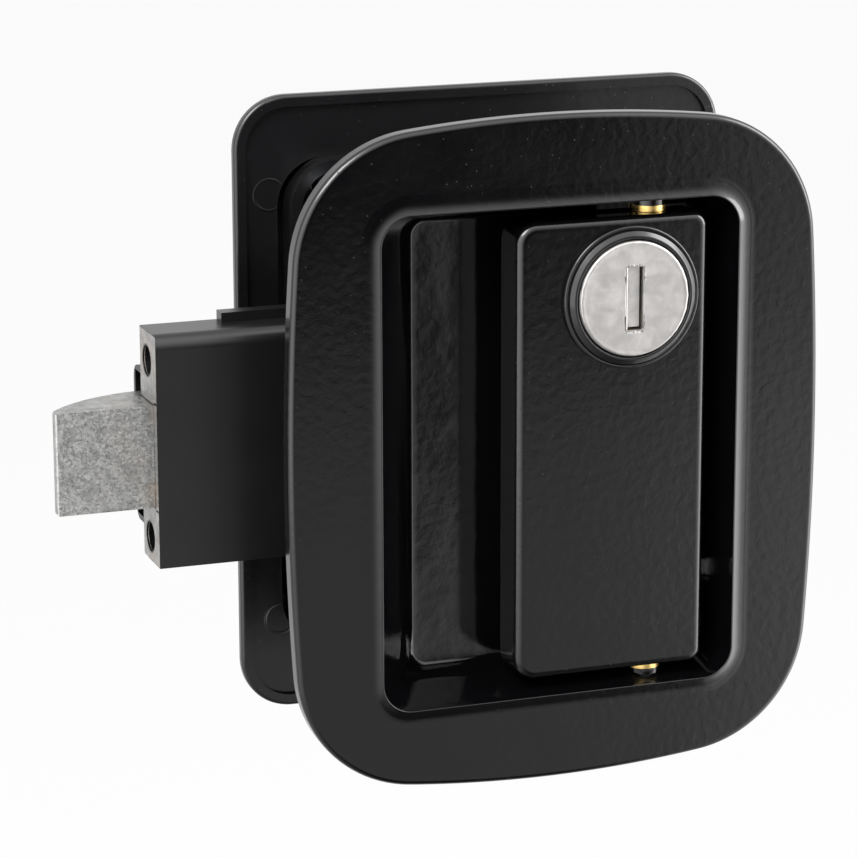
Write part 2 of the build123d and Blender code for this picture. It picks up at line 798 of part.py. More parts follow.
# Cam on the plug's tail; a quarter turn brings it up behind the keeper at the top of the recess
cam_tip_z = paddle_top + 0.3
with BuildPart() as locking_cam:
    with BuildSketch(facing(cam_front)):
        with Locations((cylinder_x, cylinder_z)):
            Circle(cam_width / 2 + 0.6)
            with Locations((-(cam_tip_z - cylinder_z - cam_width / 2), 0)):
                Circle(cam_width / 2)
        make_hull()
        with Locations((cylinder_x, cylinder_z)):
            Rectangle(cam_tail_width + 0.06, cam_tail_width + 0.06, mode=Mode.SUBTRACT)
    extrude(amount=-cam_thickness)
locking_cam.part.label = "locking_cam"
export_step(locking_cam.part, "parts/locking_cam.step")

cam_back = cam_front + cam_thickness
with BuildPart() as cam_screw:
    bar(cylinder_x, cylinder_z, small_head_radius + 0.6, cam_back, cam_back + 1.0)
cam_screw.part.label = "cam_screw"
export_step(cam_screw.part, "parts/cam_screw.step")

# Latch case: nose, body, guides, posts and lugs in one casting
ear_gap = (bolt_bottom - bolt_clearance, bolt_top + bolt_clearance)
rib_limits = (bolt_centre_z - bolt_spring_coil - 2.2, bolt_centre_z + bolt_spring_coil + 2.2)
rib_back = tail_front - 0.4
spring_y = (case_inside + rib_back) / 2
deadlock_post_back = deadlock_front - 0.2
pivot_boss_back = lever_front - 0.2
with BuildPart() as latch_case:
    with BuildSketch(Plane.YZ.offset(-backset)):
        with BuildLine():
            Polyline(
                (nose_back, nose_bottom),
                (case_front, nose_bottom),
                (case_front, nose_top),
                (nose_back, nose_top),
                close=True,
            )
        make_face()
    extrude(amount=backset - case_body_left + case_wall)
    long_edges = latch_case.edges().filter_by(Axis.X)
    fillet(long_edges.group_by(Axis.Y)[0].sort_by(Axis.Z)[-1], nose_front_radius)
    lower_back = latch_case.edges().filter_by(Axis.X).group_by(Axis.Y)[-1].sort_by(Axis.Z)[0]
    fillet(lower_back, nose_back_radius)
    with BuildSketch(facing(case_front)):
        with Locations(
            (
                (case_body_right - case_body_left) / 2,
                (nose_top - case_body_bottom) / 2,
            )
        ):
            RectangleRounded(case_body_width, case_body_height, case_corner_radius)
    extrude(amount=case_front - case_back)
    for x, z in case_screw_places:
        side = 1 if z > 0 else -1
        with BuildSketch(facing(case_front)):
            with Locations((x, z)):
                Circle(case_lug_radius)
            with Locations((x, z - side * case_lug_radius)):
                Rectangle(2 * case_lug_radius, 2 * case_lug_radius)
        extrude(amount=-case_lug_thickness)
    block(
        (-case_body_left - nose_rib_length, -case_body_left + case_wall),
        (nose_back - nose_rib_width, nose_back),
        (nose_top - case_wall, nose_top + nose_rib_height),
    )
    with BuildSketch(facing(case_inside)):
        with Locations(((cavity_left + cavity_right) / 2, (cavity_top + cavity_bottom) / 2)):
            RectangleRounded(
                cavity_right - cavity_left,
                cavity_top - cavity_bottom,
                case_corner_radius - case_wall + 0.5,
            )
    extrude(amount=case_inside - case_back, mode=Mode.SUBTRACT)
    block((-backset, cavity_left + 1), (case_inside, case_back), ear_gap, mode=Mode.SUBTRACT)
    inner_edges = (
        latch_case.edges()
        .filter_by(Axis.X)
        .filter_by_position(Axis.Y, nose_back - 0.01, nose_back + 0.01)
        .filter_by_position(Axis.Z, ear_gap[0] - 0.01, ear_gap[1] + 0.01)
    )
    fillet(inner_edges, nose_back_radius)
    for x, z in cover_screw_places:
        bar(x, z, cover_boss_radius, case_inside, case_back)
    bar(lever_x, lever_z, lever_hub_radius, case_inside, pivot_boss_back)
    bar(deadlock_x, deadlock_z, deadlock_pin_radius + 1.2, case_inside, deadlock_post_back)
    block(
        (spring_rib_x - spring_rib_thickness, spring_rib_x),
        (case_inside, rib_back),
        rib_limits,
    )
    block(arm_slot_x, (case_front, case_inside), arm_slot_z, mode=Mode.SUBTRACT)
    for x, z in case_screw_places:
        bar(x, z, case_screw_radius + 0.2, case_front, case_front + case_lug_thickness, mode=Mode.SUBTRACT)
    for x, z in cover_screw_places:
        bar(x, z, cover_screw_radius, case_back - cover_screw_length, case_back, mode=Mode.SUBTRACT)
    bar(lever_x, lever_z, lever_pivot_radius, case_front, pivot_boss_back, mode=Mode.SUBTRACT)
    bar(deadlock_x, deadlock_z, deadlock_pin_radius, case_front, deadlock_post_back, mode=Mode.SUBTRACT)
    with BuildSketch(Plane.YZ.offset(spring_rib_x)):
        with Locations((spring_y, bolt_centre_z)):
            Circle(spring_guide_radius)
    extrude(amount=-spring_rib_thickness, mode=Mode.SUBTRACT)
    with BuildSketch(Plane.YZ.offset(-backset)):
        with Locations((case_front + edge_screw_setback, edge_screw_centre_z)):
            with GridLocations(0, edge_screw_spacing, 1, 2):
                Circle(edge_screw_radius)
    extrude(amount=edge_screw_depth, mode=Mode.SUBTRACT)
latch_case.part.label = "latch_case"
export_step(latch_case.part, "parts/latch_case.step")

with BuildPart() as case_screws:
    for x, z in case_screw_places:
        lug_back = case_front + case_lug_thickness
        bar(x, z, case_screw_radius, pan_back, lug_back)
        bar(x, z, case_head_radius, lug_back, lug_back + case_head_height)
case_screws.part.label = "case_screws"
export_step(case_screws.part, "parts/case_screws.step")

# Pressed steel cover with a channel over the bolt behind the nose
channel_low = bolt_bottom - channel_top_margin
channel_high = bolt_top + channel_top_margin
interior_slot_left = 2 * handle_pin_x - interior_arm_tip_x - interior_arm_tip_radius - slot_clearance
interior_slot_right = interior_arm_tip_x + interior_arm_tip_radius + slot_clearance / 2
interior_arm_bottom = handle_gap - pocket_bottom + handle_side_wall + 0.1
interior_arm_top = arm_low - 0.1
with BuildPart() as case_cover:
    with BuildSketch(facing(case_back)):
        with Locations(
            (
                (case_body_right - case_body_left) / 2,
                (nose_top - case_body_bottom) / 2,
            )
        ):
            RectangleRounded(case_body_width, case_body_height, case_corner_radius)
    extrude(amount=-cover_thickness)
    with BuildSketch(Plane.YZ.offset(-backset)) as channel:
        with Locations(((nose_back + cover_back) / 2, (channel_low + channel_high) / 2)):
            Rectangle(cover_back - nose_back, channel_high - channel_low)
        fillet(channel.vertices().group_by(Axis.X)[-1], 2.5)
        with Locations(((nose_back + case_back) / 2, (channel_low + channel_high) / 2)):
            Rectangle(
                case_back - nose_back,
                channel_high - channel_low - 2 * cover_thickness,
                mode=Mode.SUBTRACT,
            )
    extrude(amount=backset - case_body_left)
    for x, z in cover_screw_places:
        bar(x, z, cover_screw_radius + 0.1, case_back, cover_back, mode=Mode.SUBTRACT)
    bar(spindle_x, deadlock_z, spindle_radius + 0.4, case_back, cover_back, mode=Mode.SUBTRACT)
    block(
        (interior_slot_left, interior_slot_right),
        (case_back, cover_back),
        (interior_arm_bottom - 0.6, interior_arm_top + 0.6),
        mode=Mode.SUBTRACT,
    )
case_cover.part.label = "case_cover"
export_step(case_cover.part, "parts/case_cover.step")

with BuildPart() as cover_screws:
    for x, z in cover_screw_places:
        bar(x, z, cover_screw_radius, case_back - cover_screw_length + 1, cover_back)
        bar(x, z, cover_head_radius, cover_back, cover_back + cover_head_height)
cover_screws.part.label = "cover_screws"
export_step(cover_screws.part, "parts/cover_screws.step")

# Cast bolt: head with a rounded closing bevel, a tail behind it and a slot for the drive pin
bevel_middle = bolt_bevel_length * 0.4
bevel_rise = bolt_tip_thickness + (bolt_thickness - bolt_tip_thickness) * 0.64
with BuildPart() as latch_bolt:
    with BuildSketch(Plane.XY.offset(bolt_bottom)):
        with BuildLine():
            Polyline(
                (bolt_tip_x + bolt_bevel_length, bolt_back),
                (bolt_shoulder_x, bolt_back),
                (bolt_shoulder_x, bolt_front),
                (bolt_tip_x, bolt_front),
                (bolt_tip_x, bolt_front + bolt_tip_thickness),
            )
            ThreePointArc(
                (bolt_tip_x, bolt_front + bolt_tip_thickness),
                (bolt_tip_x + bevel_middle, bolt_front + bevel_rise),
                (bolt_tip_x + bolt_bevel_length, bolt_back),
            )
        make_face()
    extrude(amount=bolt_height)
    tip_edges = latch_bolt.faces().sort_by(Axis.X)[0].edges()
    fillet(tip_edges, 0.5)
    block(
        (bolt_shoulder_x, tail_end_x),
        (tail_front, tail_back),
        (tail_bottom, tail_top),
    )
    with BuildSketch(facing(tail_front)):
        with Locations((drive_x, drive_z + drive_rise / 2)):
            RectangleRounded(
                2 * (lever_drive_radius + lever_drive_clearance),
                2 * lever_drive_radius + drive_rise + 1.2,
                1.0,
            )
    extrude(amount=-tail_thickness, mode=Mode.SUBTRACT)
latch_bolt.part.label = "latch_bolt"
export_step(latch_bolt.part, "parts/latch_bolt.step")

# Compression spring between the bolt's shoulder and the rib in the case
spring_end_gap = bolt_spring_wire + 0.15
spring_start_x = bolt_shoulder_x + spring_end_gap
spring_length = spring_rib_x - spring_rib_thickness - spring_end_gap - spring_start_x
with BuildPart() as bolt_spring:
    with BuildLine() as spring_path:
        Helix(
            spring_length / bolt_spring_turns,
            spring_length,
            bolt_spring_coil,
            center=(spring_start_x, spring_y, bolt_centre_z),
            direction=(1, 0, 0),
        )
    with BuildSketch(Plane(origin=spring_path.line @ 0, z_dir=spring_path.line % 0)):
        Circle(bolt_spring_wire)
    sweep(path=spring_path.line, is_frenet=True)
bolt_spring.part.label = "bolt_spring"
export_step(bolt_spring.part, "parts/bolt_spring.step")

with BuildPart() as spring_guide:
    with BuildSketch(Plane.YZ.offset(spring_rib_x)):
        with Locations((spring_y, bolt_centre_z)):
            Circle(spring_guide_radius)
    extrude(amount=-spring_guide_length)
spring_guide.part.label = "spring_guide"
export_step(spring_guide.part, "parts/spring_guide.step")

# Retractor lever at rest: its upper arm leans away from the hinge side
with BuildPart() as retractor_lever:
    lever_plane = tilted(lever_x, lever_front, lever_z, lever_tilt)
    with BuildSketch(lever_plane):
        Circle(lever_hub_radius)
        with Locations((0, lever_upper_arm)):
            Circle(lever_upper_radius)
        make_hull()
    extrude(amount=-lever_thickness)
    with BuildSketch(lever_plane):
        with Locations((0, -lever_lower_arm / 2)):
            Rectangle(lever_neck_width, lever_lower_arm)
        with Locations((0, -lever_lower_arm)):
            Circle(lever_knob_radius)
    extrude(amount=-lever_thickness)
    with BuildSketch(lever_plane):
        Circle(lever_pivot_radius + pin_running_clearance)
        with Locations((0, lever_upper_arm)):
            Circle(lever_drive_radius)
        with Locations((0, lever_upper_arm / 2 + 1)):
            SlotCenterToCenter(5.0, 3.0, rotation=90)
    extrude(amount=-lever_thickness, mode=Mode.SUBTRACT)
retractor_lever.part.label = "retractor_lever"
export_step(retractor_lever.part, "parts/retractor_lever.step")

with BuildPart() as drive_pin:
    bar(drive_x, drive_z, lever_drive_radius, lever_front, tail_back - 0.2)
drive_pin.part.label = "drive_pin"
export_step(drive_pin.part, "parts/drive_pin.step")

pivot_groove_radius = lever_pivot_radius - 0.5
pivot_groove = lever_back + 0.2
pivot_collar = pivot_groove + clip_thickness
with BuildPart() as retractor_pivot:
    bar(lever_x, lever_z, lever_pivot_radius, case_front, pivot_groove)
    bar(lever_x, lever_z, pivot_groove_radius, pivot_groove, pivot_collar)
    bar(lever_x, lever_z, lever_pivot_radius, pivot_collar, pivot_collar + 0.8)
retractor_pivot.part.label = "retractor_pivot"
export_step(retractor_pivot.part, "parts/retractor_pivot.step")

with BuildPart() as pivot_clip:
    with BuildSketch(facing(pivot_groove + 0.05)):
        with Locations((lever_x, lever_z)):
            Circle(clip_radius)
            Circle(pivot_groove_radius, mode=Mode.SUBTRACT)
            with Locations((0, -clip_radius)):
                Rectangle(1.6 * pivot_groove_radius, 2 * clip_radius, mode=Mode.SUBTRACT)
    extrude(amount=0.1 - clip_thickness)
pivot_clip.part.label = "pivot_clip"
export_step(pivot_clip.part, "parts/pivot_clip.step")

# Deadlock lever at rest: lifted clear of the bolt's tail
nose_left = tail_end_x + 0.6 - deadlock_x
nose_gap = deadlock_z - tail_top - deadlock_nose_clearance
nose_drop = (nose_gap - (nose_left + deadlock_nose_width) * sin(deadlock_tilt)) / cos(deadlock_tilt)
with BuildPart() as deadlock_lever:
    deadlock_plane = tilted(deadlock_x, deadlock_front, deadlock_z, deadlock_tilt)
    with BuildSketch(deadlock_plane):
        Circle(deadlock_hub_radius)
        with Locations((crank_reach, 0)):
            Circle(crank_pin_radius + 1.9)
        make_hull()
    extrude(amount=-deadlock_thickness)
    with BuildSketch(deadlock_plane):
        with Locations((nose_left + deadlock_nose_width / 2, -nose_drop / 2)):
            Rectangle(deadlock_nose_width, nose_drop)
    extrude(amount=-deadlock_thickness)
    with BuildSketch(deadlock_plane):
        Circle(deadlock_pin_radius + pin_running_clearance)
        with Locations(((crank_near + crank_reach) / 2, 0)):
            SlotCenterToCenter(crank_reach - crank_near + 0.8, 2 * crank_pin_radius + 0.6)
    extrude(amount=-deadlock_thickness, mode=Mode.SUBTRACT)
deadlock_lever.part.label = "deadlock_lever"
export_step(deadlock_lever.part, "parts/deadlock_lever.step")

deadlock_groove = deadlock_front + deadlock_thickness + 0.2
with BuildPart() as deadlock_pivot:
    bar(deadlock_x, deadlock_z, deadlock_pin_radius, case_front, deadlock_groove)
    bar(deadlock_x, deadlock_z, deadlock_pin_radius - 0.4, deadlock_groove, deadlock_groove + clip_thickness)
    bar(
        deadlock_x,
        deadlock_z,
        deadlock_pin_radius,
        deadlock_groove + clip_thickness,
        deadlock_groove + clip_thickness + 0.6,
    )
deadlock_pivot.part.label = "deadlock_pivot"
export_step(deadlock_pivot.part, "parts/deadlock_pivot.step")

with BuildPart() as deadlock_clip:
    with BuildSketch(facing(deadlock_groove + 0.05)):
        with Locations((deadlock_x, deadlock_z)):
            Circle(deadlock_hub_radius - 0.3)
            Circle(deadlock_pin_radius - 0.4, mode=Mode.SUBTRACT)
            with Locations((0, -deadlock_hub_radius)):
                Rectangle(1.8, 2 * deadlock_hub_radius, mode=Mode.SUBTRACT)
    extrude(amount=0.1 - clip_thickness)
deadlock_clip.part.label = "deadlock_clip"
export_step(deadlock_clip.part, "parts/deadlock_clip.step")

# Crank disc on the spindle's end; its pin rides in the slot of the deadlock lever
crank_back = case_back - 0.3
crank_front = crank_back - crank_disc_thickness
flat_half = spindle_radius * 0.72
with BuildPart() as deadlock_crank:
    bar(spindle_x, deadlock_z, crank_disc_radius, crank_front, crank_back)
    bar(crank_x, deadlock_z + crank_rise, crank_pin_radius, deadlock_front + 0.1, crank_front)
    block(
        (spindle_x - flat_half, spindle_x + flat_half),
        (crank_front, crank_back),
        (deadlock_z - flat_half, deadlock_z + flat_half),
        mode=Mode.SUBTRACT,
    )
deadlock_crank.part.label = "deadlock_crank"
export_step(deadlock_crank.part, "parts/deadlock_crank.step")

clip_front = plate_floor - 0.1 - clip_thickness
with BuildPart() as thumb_spindle:
    bar(spindle_x, deadlock_z, spindle_radius, cover_back + 0.3, clip_front - 0.05)
    bar(spindle_x, deadlock_z, spindle_radius - 0.6, clip_front - 0.05, clip_front + clip_thickness + 0.05)
    bar(spindle_x, deadlock_z, spindle_radius, clip_front + clip_thickness + 0.05, block_face + thumb_gap)
    block(
        (spindle_x - flat_half + 0.02, spindle_x + flat_half - 0.02),
        (crank_front, cover_back + 0.3),
        (deadlock_z - flat_half + 0.02, deadlock_z + flat_half - 0.02),
    )
thumb_spindle.part.label = "thumb_spindle"
export_step(thumb_spindle.part, "parts/thumb_spindle.step")

with BuildPart() as spindle_clip:
    with BuildSketch(facing(clip_front)):
        with Locations((spindle_x, deadlock_z)):
            Circle(spindle_radius + 2.0)
            Circle(spindle_radius - 0.6, mode=Mode.SUBTRACT)
            with Locations((0, -spindle_radius - 2.0)):
                Rectangle(3.6, 2 * spindle_radius + 4.0, mode=Mode.SUBTRACT)
    extrude(amount=-clip_thickness)
spindle_clip.part.label = "spindle_clip"
export_step(spindle_clip.part, "parts/spindle_clip.step")

# Interior housing: cover plate, collar in the door cut-out, raised block, handle pocket and bearings
boss_radius = mounting_head_radius + 1.6
with BuildPart() as interior_housing:
    with BuildSketch(facing(door_thickness)):
        with Locations((plate_centre_x, 0)):
            RectangleRounded(plate_width, plate_height, plate_corner_radius)
    extrude(amount=-plate_thickness)
    fillet(interior_housing.faces().sort_by(Axis.Y)[-1].edges(), plate_edge_radius)
    fillet(interior_housing.faces().sort_by(Axis.Y)[0].edges(), plate_front_radius)
    with BuildSketch(facing(door_thickness)):
        with Locations((plate_centre_x, 0)):
            RectangleRounded(
                plate_width - 2 * plate_rim,
                plate_height - 2 * plate_rim,
                plate_corner_radius - plate_rim,
            )
    extrude(amount=-plate_recess, mode=Mode.SUBTRACT)
    with BuildSketch(facing(plate_back - 0.5)):
        RectangleRounded(block_width, block_height, block_corner_radius)
    extrude(amount=-block_rise - 0.5, taper=block_draft)
    fillet(interior_housing.faces().sort_by(Axis.Y)[-1].edges(), 1.5)
    with BuildSketch(facing(plate_floor)):
        RectangleRounded(
            block_width - 2 * block_wall - 1,
            block_height - 2 * block_wall - 1,
            block_corner_radius - block_wall,
        )
    extrude(
        amount=plate_floor - block_face + block_wall,
        taper=block_draft,
        mode=Mode.SUBTRACT,
    )
    with BuildSketch(facing(door_thickness - collar_height)):
        RectangleRounded(pan_outer_width, pan_outer_height, collar_corner_radius)
        RectangleRounded(
            pan_outer_width - 2 * collar_wall,
            pan_outer_height - 2 * collar_wall,
            collar_corner_radius - collar_wall,
            mode=Mode.SUBTRACT,
        )
    extrude(amount=-collar_height - plate_thickness + 0.5)
    block(
        (-pocket_left - pocket_wall, pocket_right + pocket_wall),
        (pocket_floor - pocket_wall, block_face - 1),
        (-pocket_bottom - pocket_wall, pocket_top + pocket_wall),
    )
    with BuildSketch(facing(plate_floor)):
        with Locations(*post_places):
            Circle(boss_radius)
        with Locations((spindle_x, deadlock_z)):
            Circle(spindle_radius + 3.0)
    extrude(amount=plate_floor - block_face + 1)
    with BuildSketch(facing(pocket_floor)):
        with Locations(((pocket_right - pocket_left) / 2, (pocket_top - pocket_bottom) / 2)):
            RectangleRounded(pocket_right + pocket_left, pocket_top + pocket_bottom, 2.5)
    extrude(amount=-pocket_depth, mode=Mode.SUBTRACT)
    with BuildSketch(facing(plate_back)):
        with Locations(*post_places):
            Circle(mounting_head_radius + 0.3)
    extrude(amount=-block_rise, mode=Mode.SUBTRACT)
    with BuildSketch(facing(plate_floor)):
        with Locations(*post_places):
            Circle(mounting_screw_radius + screw_hole_clearance)
        with Locations((spindle_x, deadlock_z)):
            Circle(spindle_radius + thumb_bearing_clearance)
    extrude(amount=plate_floor - block_face, mode=Mode.SUBTRACT)
    block(
        (interior_slot_left, interior_slot_right),
        (plate_floor - 1, pocket_floor + 1),
        (interior_arm_bottom - 0.6, interior_arm_top + 0.6),
        mode=Mode.SUBTRACT,
    )
    upright(
        handle_pin_x,
        handle_pin_y,
        pin_radius,
        -pocket_bottom - pocket_wall,
        pocket_top + pocket_wall,
        mode=Mode.SUBTRACT,
    )
interior_housing.part.label = "interior_housing"
export_step(interior_housing.part, "parts/interior_housing.step")

# Interior handle in its pocket
handle_bottom = -pocket_bottom + handle_gap
handle_top = pocket_top - handle_gap
handle_right = pocket_right - 2.6
handle_inside = block_face - handle_face_wall
with BuildPart() as interior_handle:
    with BuildSketch(facing(handle_back)) as handle_outline:
        with Locations(((handle_right - handle_left) / 2, (handle_top + handle_bottom) / 2)):
            Rectangle(handle_right + handle_left, handle_top - handle_bottom)
        fillet(handle_outline.vertices(), 2.5)
    extrude(amount=-handle_depth)
    fillet(interior_handle.faces().sort_by(Axis.Y)[-1].edges(), paddle_edge_radius)
    with BuildSketch(facing(handle_back)):
        with Locations(((handle_right - handle_left) / 2, (handle_top + handle_bottom) / 2)):
            Rectangle(
                handle_right + handle_left - 2 * handle_side_wall,
                handle_top - handle_bottom - 2 * handle_side_wall,
            )
    extrude(amount=handle_back - handle_inside, mode=Mode.SUBTRACT)
    for low, high in ((handle_bottom, handle_bottom + handle_side_wall), (handle_top - 2.6, handle_top)):
        upright(handle_pin_x, handle_pin_y, hinge_lug_radius - 0.4, low, high)
    upright(
        handle_pin_x,
        handle_pin_y,
        pin_radius + pin_running_clearance,
        handle_bottom,
        handle_top,
        mode=Mode.SUBTRACT,
    )
interior_handle.part.label = "interior_handle"
export_step(interior_handle.part, "parts/interior_handle.step")

with BuildPart() as interior_handle_pin:
    upright(
        handle_pin_x,
        handle_pin_y,
        pin_radius,
        -pocket_bottom - pocket_wall,
        pocket_top + pocket_wall,
    )
interior_handle_pin.part.label = "interior_handle_pin"
export_step(interior_handle_pin.part, "parts/interior_handle_pin.step")

# Torsion spring of the interior handle, with its legs on the handle and on the pocket floor
handle_spring_low = interior_arm_top + 10.0
handle_spring_high = handle_spring_low + paddle_spring_turns * paddle_spring_pitch
with BuildPart() as interior_handle_spring:
    add(
        mirror(
            coil(
                handle_pin_x,
                -handle_pin_y,
                handle_spring_low,
                paddle_spring_coil,
                paddle_spring_wire,
                paddle_spring_turns,
                paddle_spring_pitch,
            ),
            about=Plane.XZ,
        )
    )
    with BuildSketch(Plane.YZ.offset(handle_pin_x + paddle_spring_wire)):
        with Locations((handle_pin_y + paddle_spring_coil, handle_spring_low)):
            Circle(paddle_spring_wire)
    extrude(amount=-12.0)
    bar(
        handle_pin_x + paddle_spring_coil,
        handle_spring_high,
        paddle_spring_wire,
        handle_pin_y + paddle_spring_wire,
        pocket_floor + 0.1,
    )
interior_handle_spring.part.label = "interior_handle_spring"
export_step(interior_handle_spring.part, "parts/interior_handle_spring.step")

# Arm on the interior handle, pierced by the handle's pin
interior_plate_back = handle_inside
interior_plate_front = handle_inside - arm_plate_thickness + 0.4
interior_screw_z = interior_arm_top + 4.0
interior_screw_places = [(-handle_left + 6.0, interior_screw_z), (handle_pin_x - 10.0, interior_screw_z)]
with BuildPart() as interior_arm:
    with BuildSketch(Plane.XY.offset(interior_arm_bottom)):
        with Locations((handle_pin_x, handle_pin_y)):
            Circle(hinge_lug_radius - 0.5)
        with Locations((interior_arm_tip_x, interior_arm_tip_y)):
            Circle(interior_arm_tip_radius)
        make_hull()
        with Locations((handle_pin_x - 6.0, handle_inside - 0.9)):
            Rectangle(12.0, 1.8)
        with Locations((handle_pin_x, handle_pin_y)):
            Circle(pin_radius + pin_running_clearance, mode=Mode.SUBTRACT)
    extrude(amount=interior_arm_top - interior_arm_bottom)
    block(
        (-handle_left + 2.4, handle_pin_x - 4.0),
        (interior_plate_front, interior_plate_back),
        (interior_arm_bottom, interior_arm_top + 8.0),
    )
    for x, z in interior_screw_places:
        bar(x, z, small_screw_radius + 0.1, interior_plate_front, interior_plate_back, mode=Mode.SUBTRACT)
interior_arm.part.label = "interior_arm"
export_step(interior_arm.part, "parts/interior_arm.step")

with BuildPart() as interior_arm_screws:
    for x, z in interior_screw_places:
        bar(x, z, small_screw_radius, interior_plate_front, interior_plate_back)
        bar(x, z, small_head_radius, interior_plate_front - small_head_height, interior_plate_front)
interior_arm_screws.part.label = "interior_arm_screws"
export_step(interior_arm_screws.part, "parts/interior_arm_screws.step")

# Thumb-turn knob
thumb_front = block_face + thumb_gap
thumb_base_back = thumb_front + thumb_base_height
with BuildPart() as thumb_turn:
    bar(spindle_x, deadlock_z, thumb_radius, thumb_front, thumb_base_back)
    fillet(thumb_turn.faces().sort_by(Axis.Y)[-1].edges(), 0.8)
    with BuildSketch(facing(thumb_base_back - 0.5)):
        with Locations((spindle_x, deadlock_z)):
            SlotOverall(thumb_grip_length, thumb_grip_width, rotation=90)
    extrude(amount=-thumb_grip_height - 0.5, taper=4.0)
    fillet(thumb_turn.faces().sort_by(Axis.Y)[-1].edges(), 0.8)
thumb_turn.part.label = "thumb_turn"
export_step(thumb_turn.part, "parts/thumb_turn.step")

# Long screws that pull the interior housing to the posts of the exterior housing
with BuildPart() as mounting_screws:
    for x, z in post_places:
        bar(x, z, mounting_screw_radius, post_reach - mounting_screw_engagement, plate_back)
        bar(x, z, mounting_head_radius, plate_back, plate_back + mounting_head_height)
        with BuildSketch(facing(plate_back + mounting_head_height)):
            with Locations((x, z)):
                Rectangle(4.6, 0.9)
                Rectangle(0.9, 4.6)
        extrude(amount=1.2, mode=Mode.SUBTRACT)
mounting_screws.part.label = "mounting_screws"
export_step(mounting_screws.part, "parts/mounting_screws.step")
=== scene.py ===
import json
import logging
from dataclasses import dataclass, field
from enum import Enum
from math import atan2, cos, hypot, pi, radians, sin, sqrt
from typing import Dict, List, Optional, Sequence, Tuple, Union

import bpy
import numpy as np
from mathutils import Matrix, Vector


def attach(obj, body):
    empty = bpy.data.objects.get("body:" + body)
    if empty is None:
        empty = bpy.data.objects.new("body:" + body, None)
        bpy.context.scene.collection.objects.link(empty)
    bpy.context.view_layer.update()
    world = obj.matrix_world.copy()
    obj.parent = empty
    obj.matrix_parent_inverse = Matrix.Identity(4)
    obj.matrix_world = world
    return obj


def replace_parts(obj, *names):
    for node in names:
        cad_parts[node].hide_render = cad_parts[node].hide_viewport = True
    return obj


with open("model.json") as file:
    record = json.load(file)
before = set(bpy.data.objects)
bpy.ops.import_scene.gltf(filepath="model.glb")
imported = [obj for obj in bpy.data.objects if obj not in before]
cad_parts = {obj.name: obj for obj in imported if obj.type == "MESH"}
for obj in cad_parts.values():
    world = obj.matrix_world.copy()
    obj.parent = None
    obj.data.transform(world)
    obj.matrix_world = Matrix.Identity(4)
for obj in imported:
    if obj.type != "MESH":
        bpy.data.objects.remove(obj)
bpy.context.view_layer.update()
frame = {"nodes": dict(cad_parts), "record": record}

LOG = logging.getLogger("lock")
MM = 0.001
# New skins lie this far outside the CAD faces that they cover.
SKIN = 0.03
# Depth of the lock's flat front face.
FRONT = -3.2
# Half width, half height and corner radius of the recess's mouth.
OPENING_X = 33.4
OPENING_Z = 44.4
OPENING_CORNER = 5.5
# Axis of the key cylinder.
KEY_X = 13.1
KEY_Z = 27.3
Point2 = Tuple[float, float]
Colour = Tuple[float, float, float]
Inputs = Dict[Union[int, str], object]


class Body(str, Enum):
    """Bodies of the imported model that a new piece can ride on."""

    HOUSING = "housing"
    PADDLE = "paddle"
    PLUG = "plug"


class Slot(str, Enum):
    """Material slots of the record."""

    COAT = "black_coat"
    CASE = "case_coat"
    TRIM = "black_trim"
    ZINC = "cast_zinc"
    NICKEL = "satin_nickel"
    STEEL = "steel"
    YELLOW = "yellow_zinc"
    WIRE = "spring_steel"
    BRASS = "wafer_brass"
    FOAM = "foam"


class Wire:
    """One output of a shader node, with arithmetic that adds Math nodes."""

    def __init__(self, graph: "Graph", socket: bpy.types.NodeSocket) -> None:
        """Keeps the socket.

        Args:
            graph: The node graph that the socket belongs to.
            socket: The output socket.
        """
        self.graph = graph
        self.socket = socket

    def math(self, operation: str, *others: Union["Wire", float]) -> "Wire":
        """Adds one Math node.

        Args:
            operation: Blender's name of the operation.
            others: The second and third value.

        Returns:
            The result.
        """
        inputs = {index: value for index, value in enumerate((self, *others))}
        return self.graph.node("ShaderNodeMath", inputs, operation=operation)

    def __add__(self, other: Union["Wire", float]) -> "Wire":
        """Sum."""
        return self.math("ADD", other)

    __radd__ = __add__

    def __sub__(self, other: Union["Wire", float]) -> "Wire":
        """Difference."""
        return self.math("SUBTRACT", other)

    def __rsub__(self, other: float) -> "Wire":
        """Difference from a number."""
        return (self * -1.0) + other

    def __mul__(self, other: Union["Wire", float]) -> "Wire":
        """Product."""
        return self.math("MULTIPLY", other)

    __rmul__ = __mul__

    def __truediv__(self, other: Union["Wire", float]) -> "Wire":
        """Quotient."""
        return self.math("DIVIDE", other)

    def __rtruediv__(self, other: float) -> "Wire":
        """A number over this value."""
        return self.math("POWER", -1.0) * other

    def __pow__(self, power: float) -> "Wire":
        """Power."""
        return self.math("POWER", power)

    def __abs__(self) -> "Wire":
        """Distance from zero."""
        return self.math("ABSOLUTE")

    def ramp(self, low: float, high: float, start: float = 0.0, end: float = 1.0) -> "Wire":
        """Smooth step between two values.

        Args:
            low: Value where the step starts.
            high: Value where the step ends.
            start: Result before the step.
            end: Result after the step.

        Returns:
            The stepped value.
        """
        inputs = {"Value": self, "From Min": low, "From Max": high, "To Min": start, "To Max": end}
        return self.graph.node("ShaderNodeMapRange", inputs, interpolation_type="SMOOTHSTEP")

    def between(self, first: Colour, second: Colour) -> "Wire":
        """Colour between two colours.

        Args:
            first: Colour at 0.
            second: Colour at 1.

        Returns:
            The mixed colour.
        """
        inputs = {0: self, 6: (*first, 1.0), 7: (*second, 1.0)}
        return self.graph.node("ShaderNodeMix", inputs, output=2, data_type="RGBA")


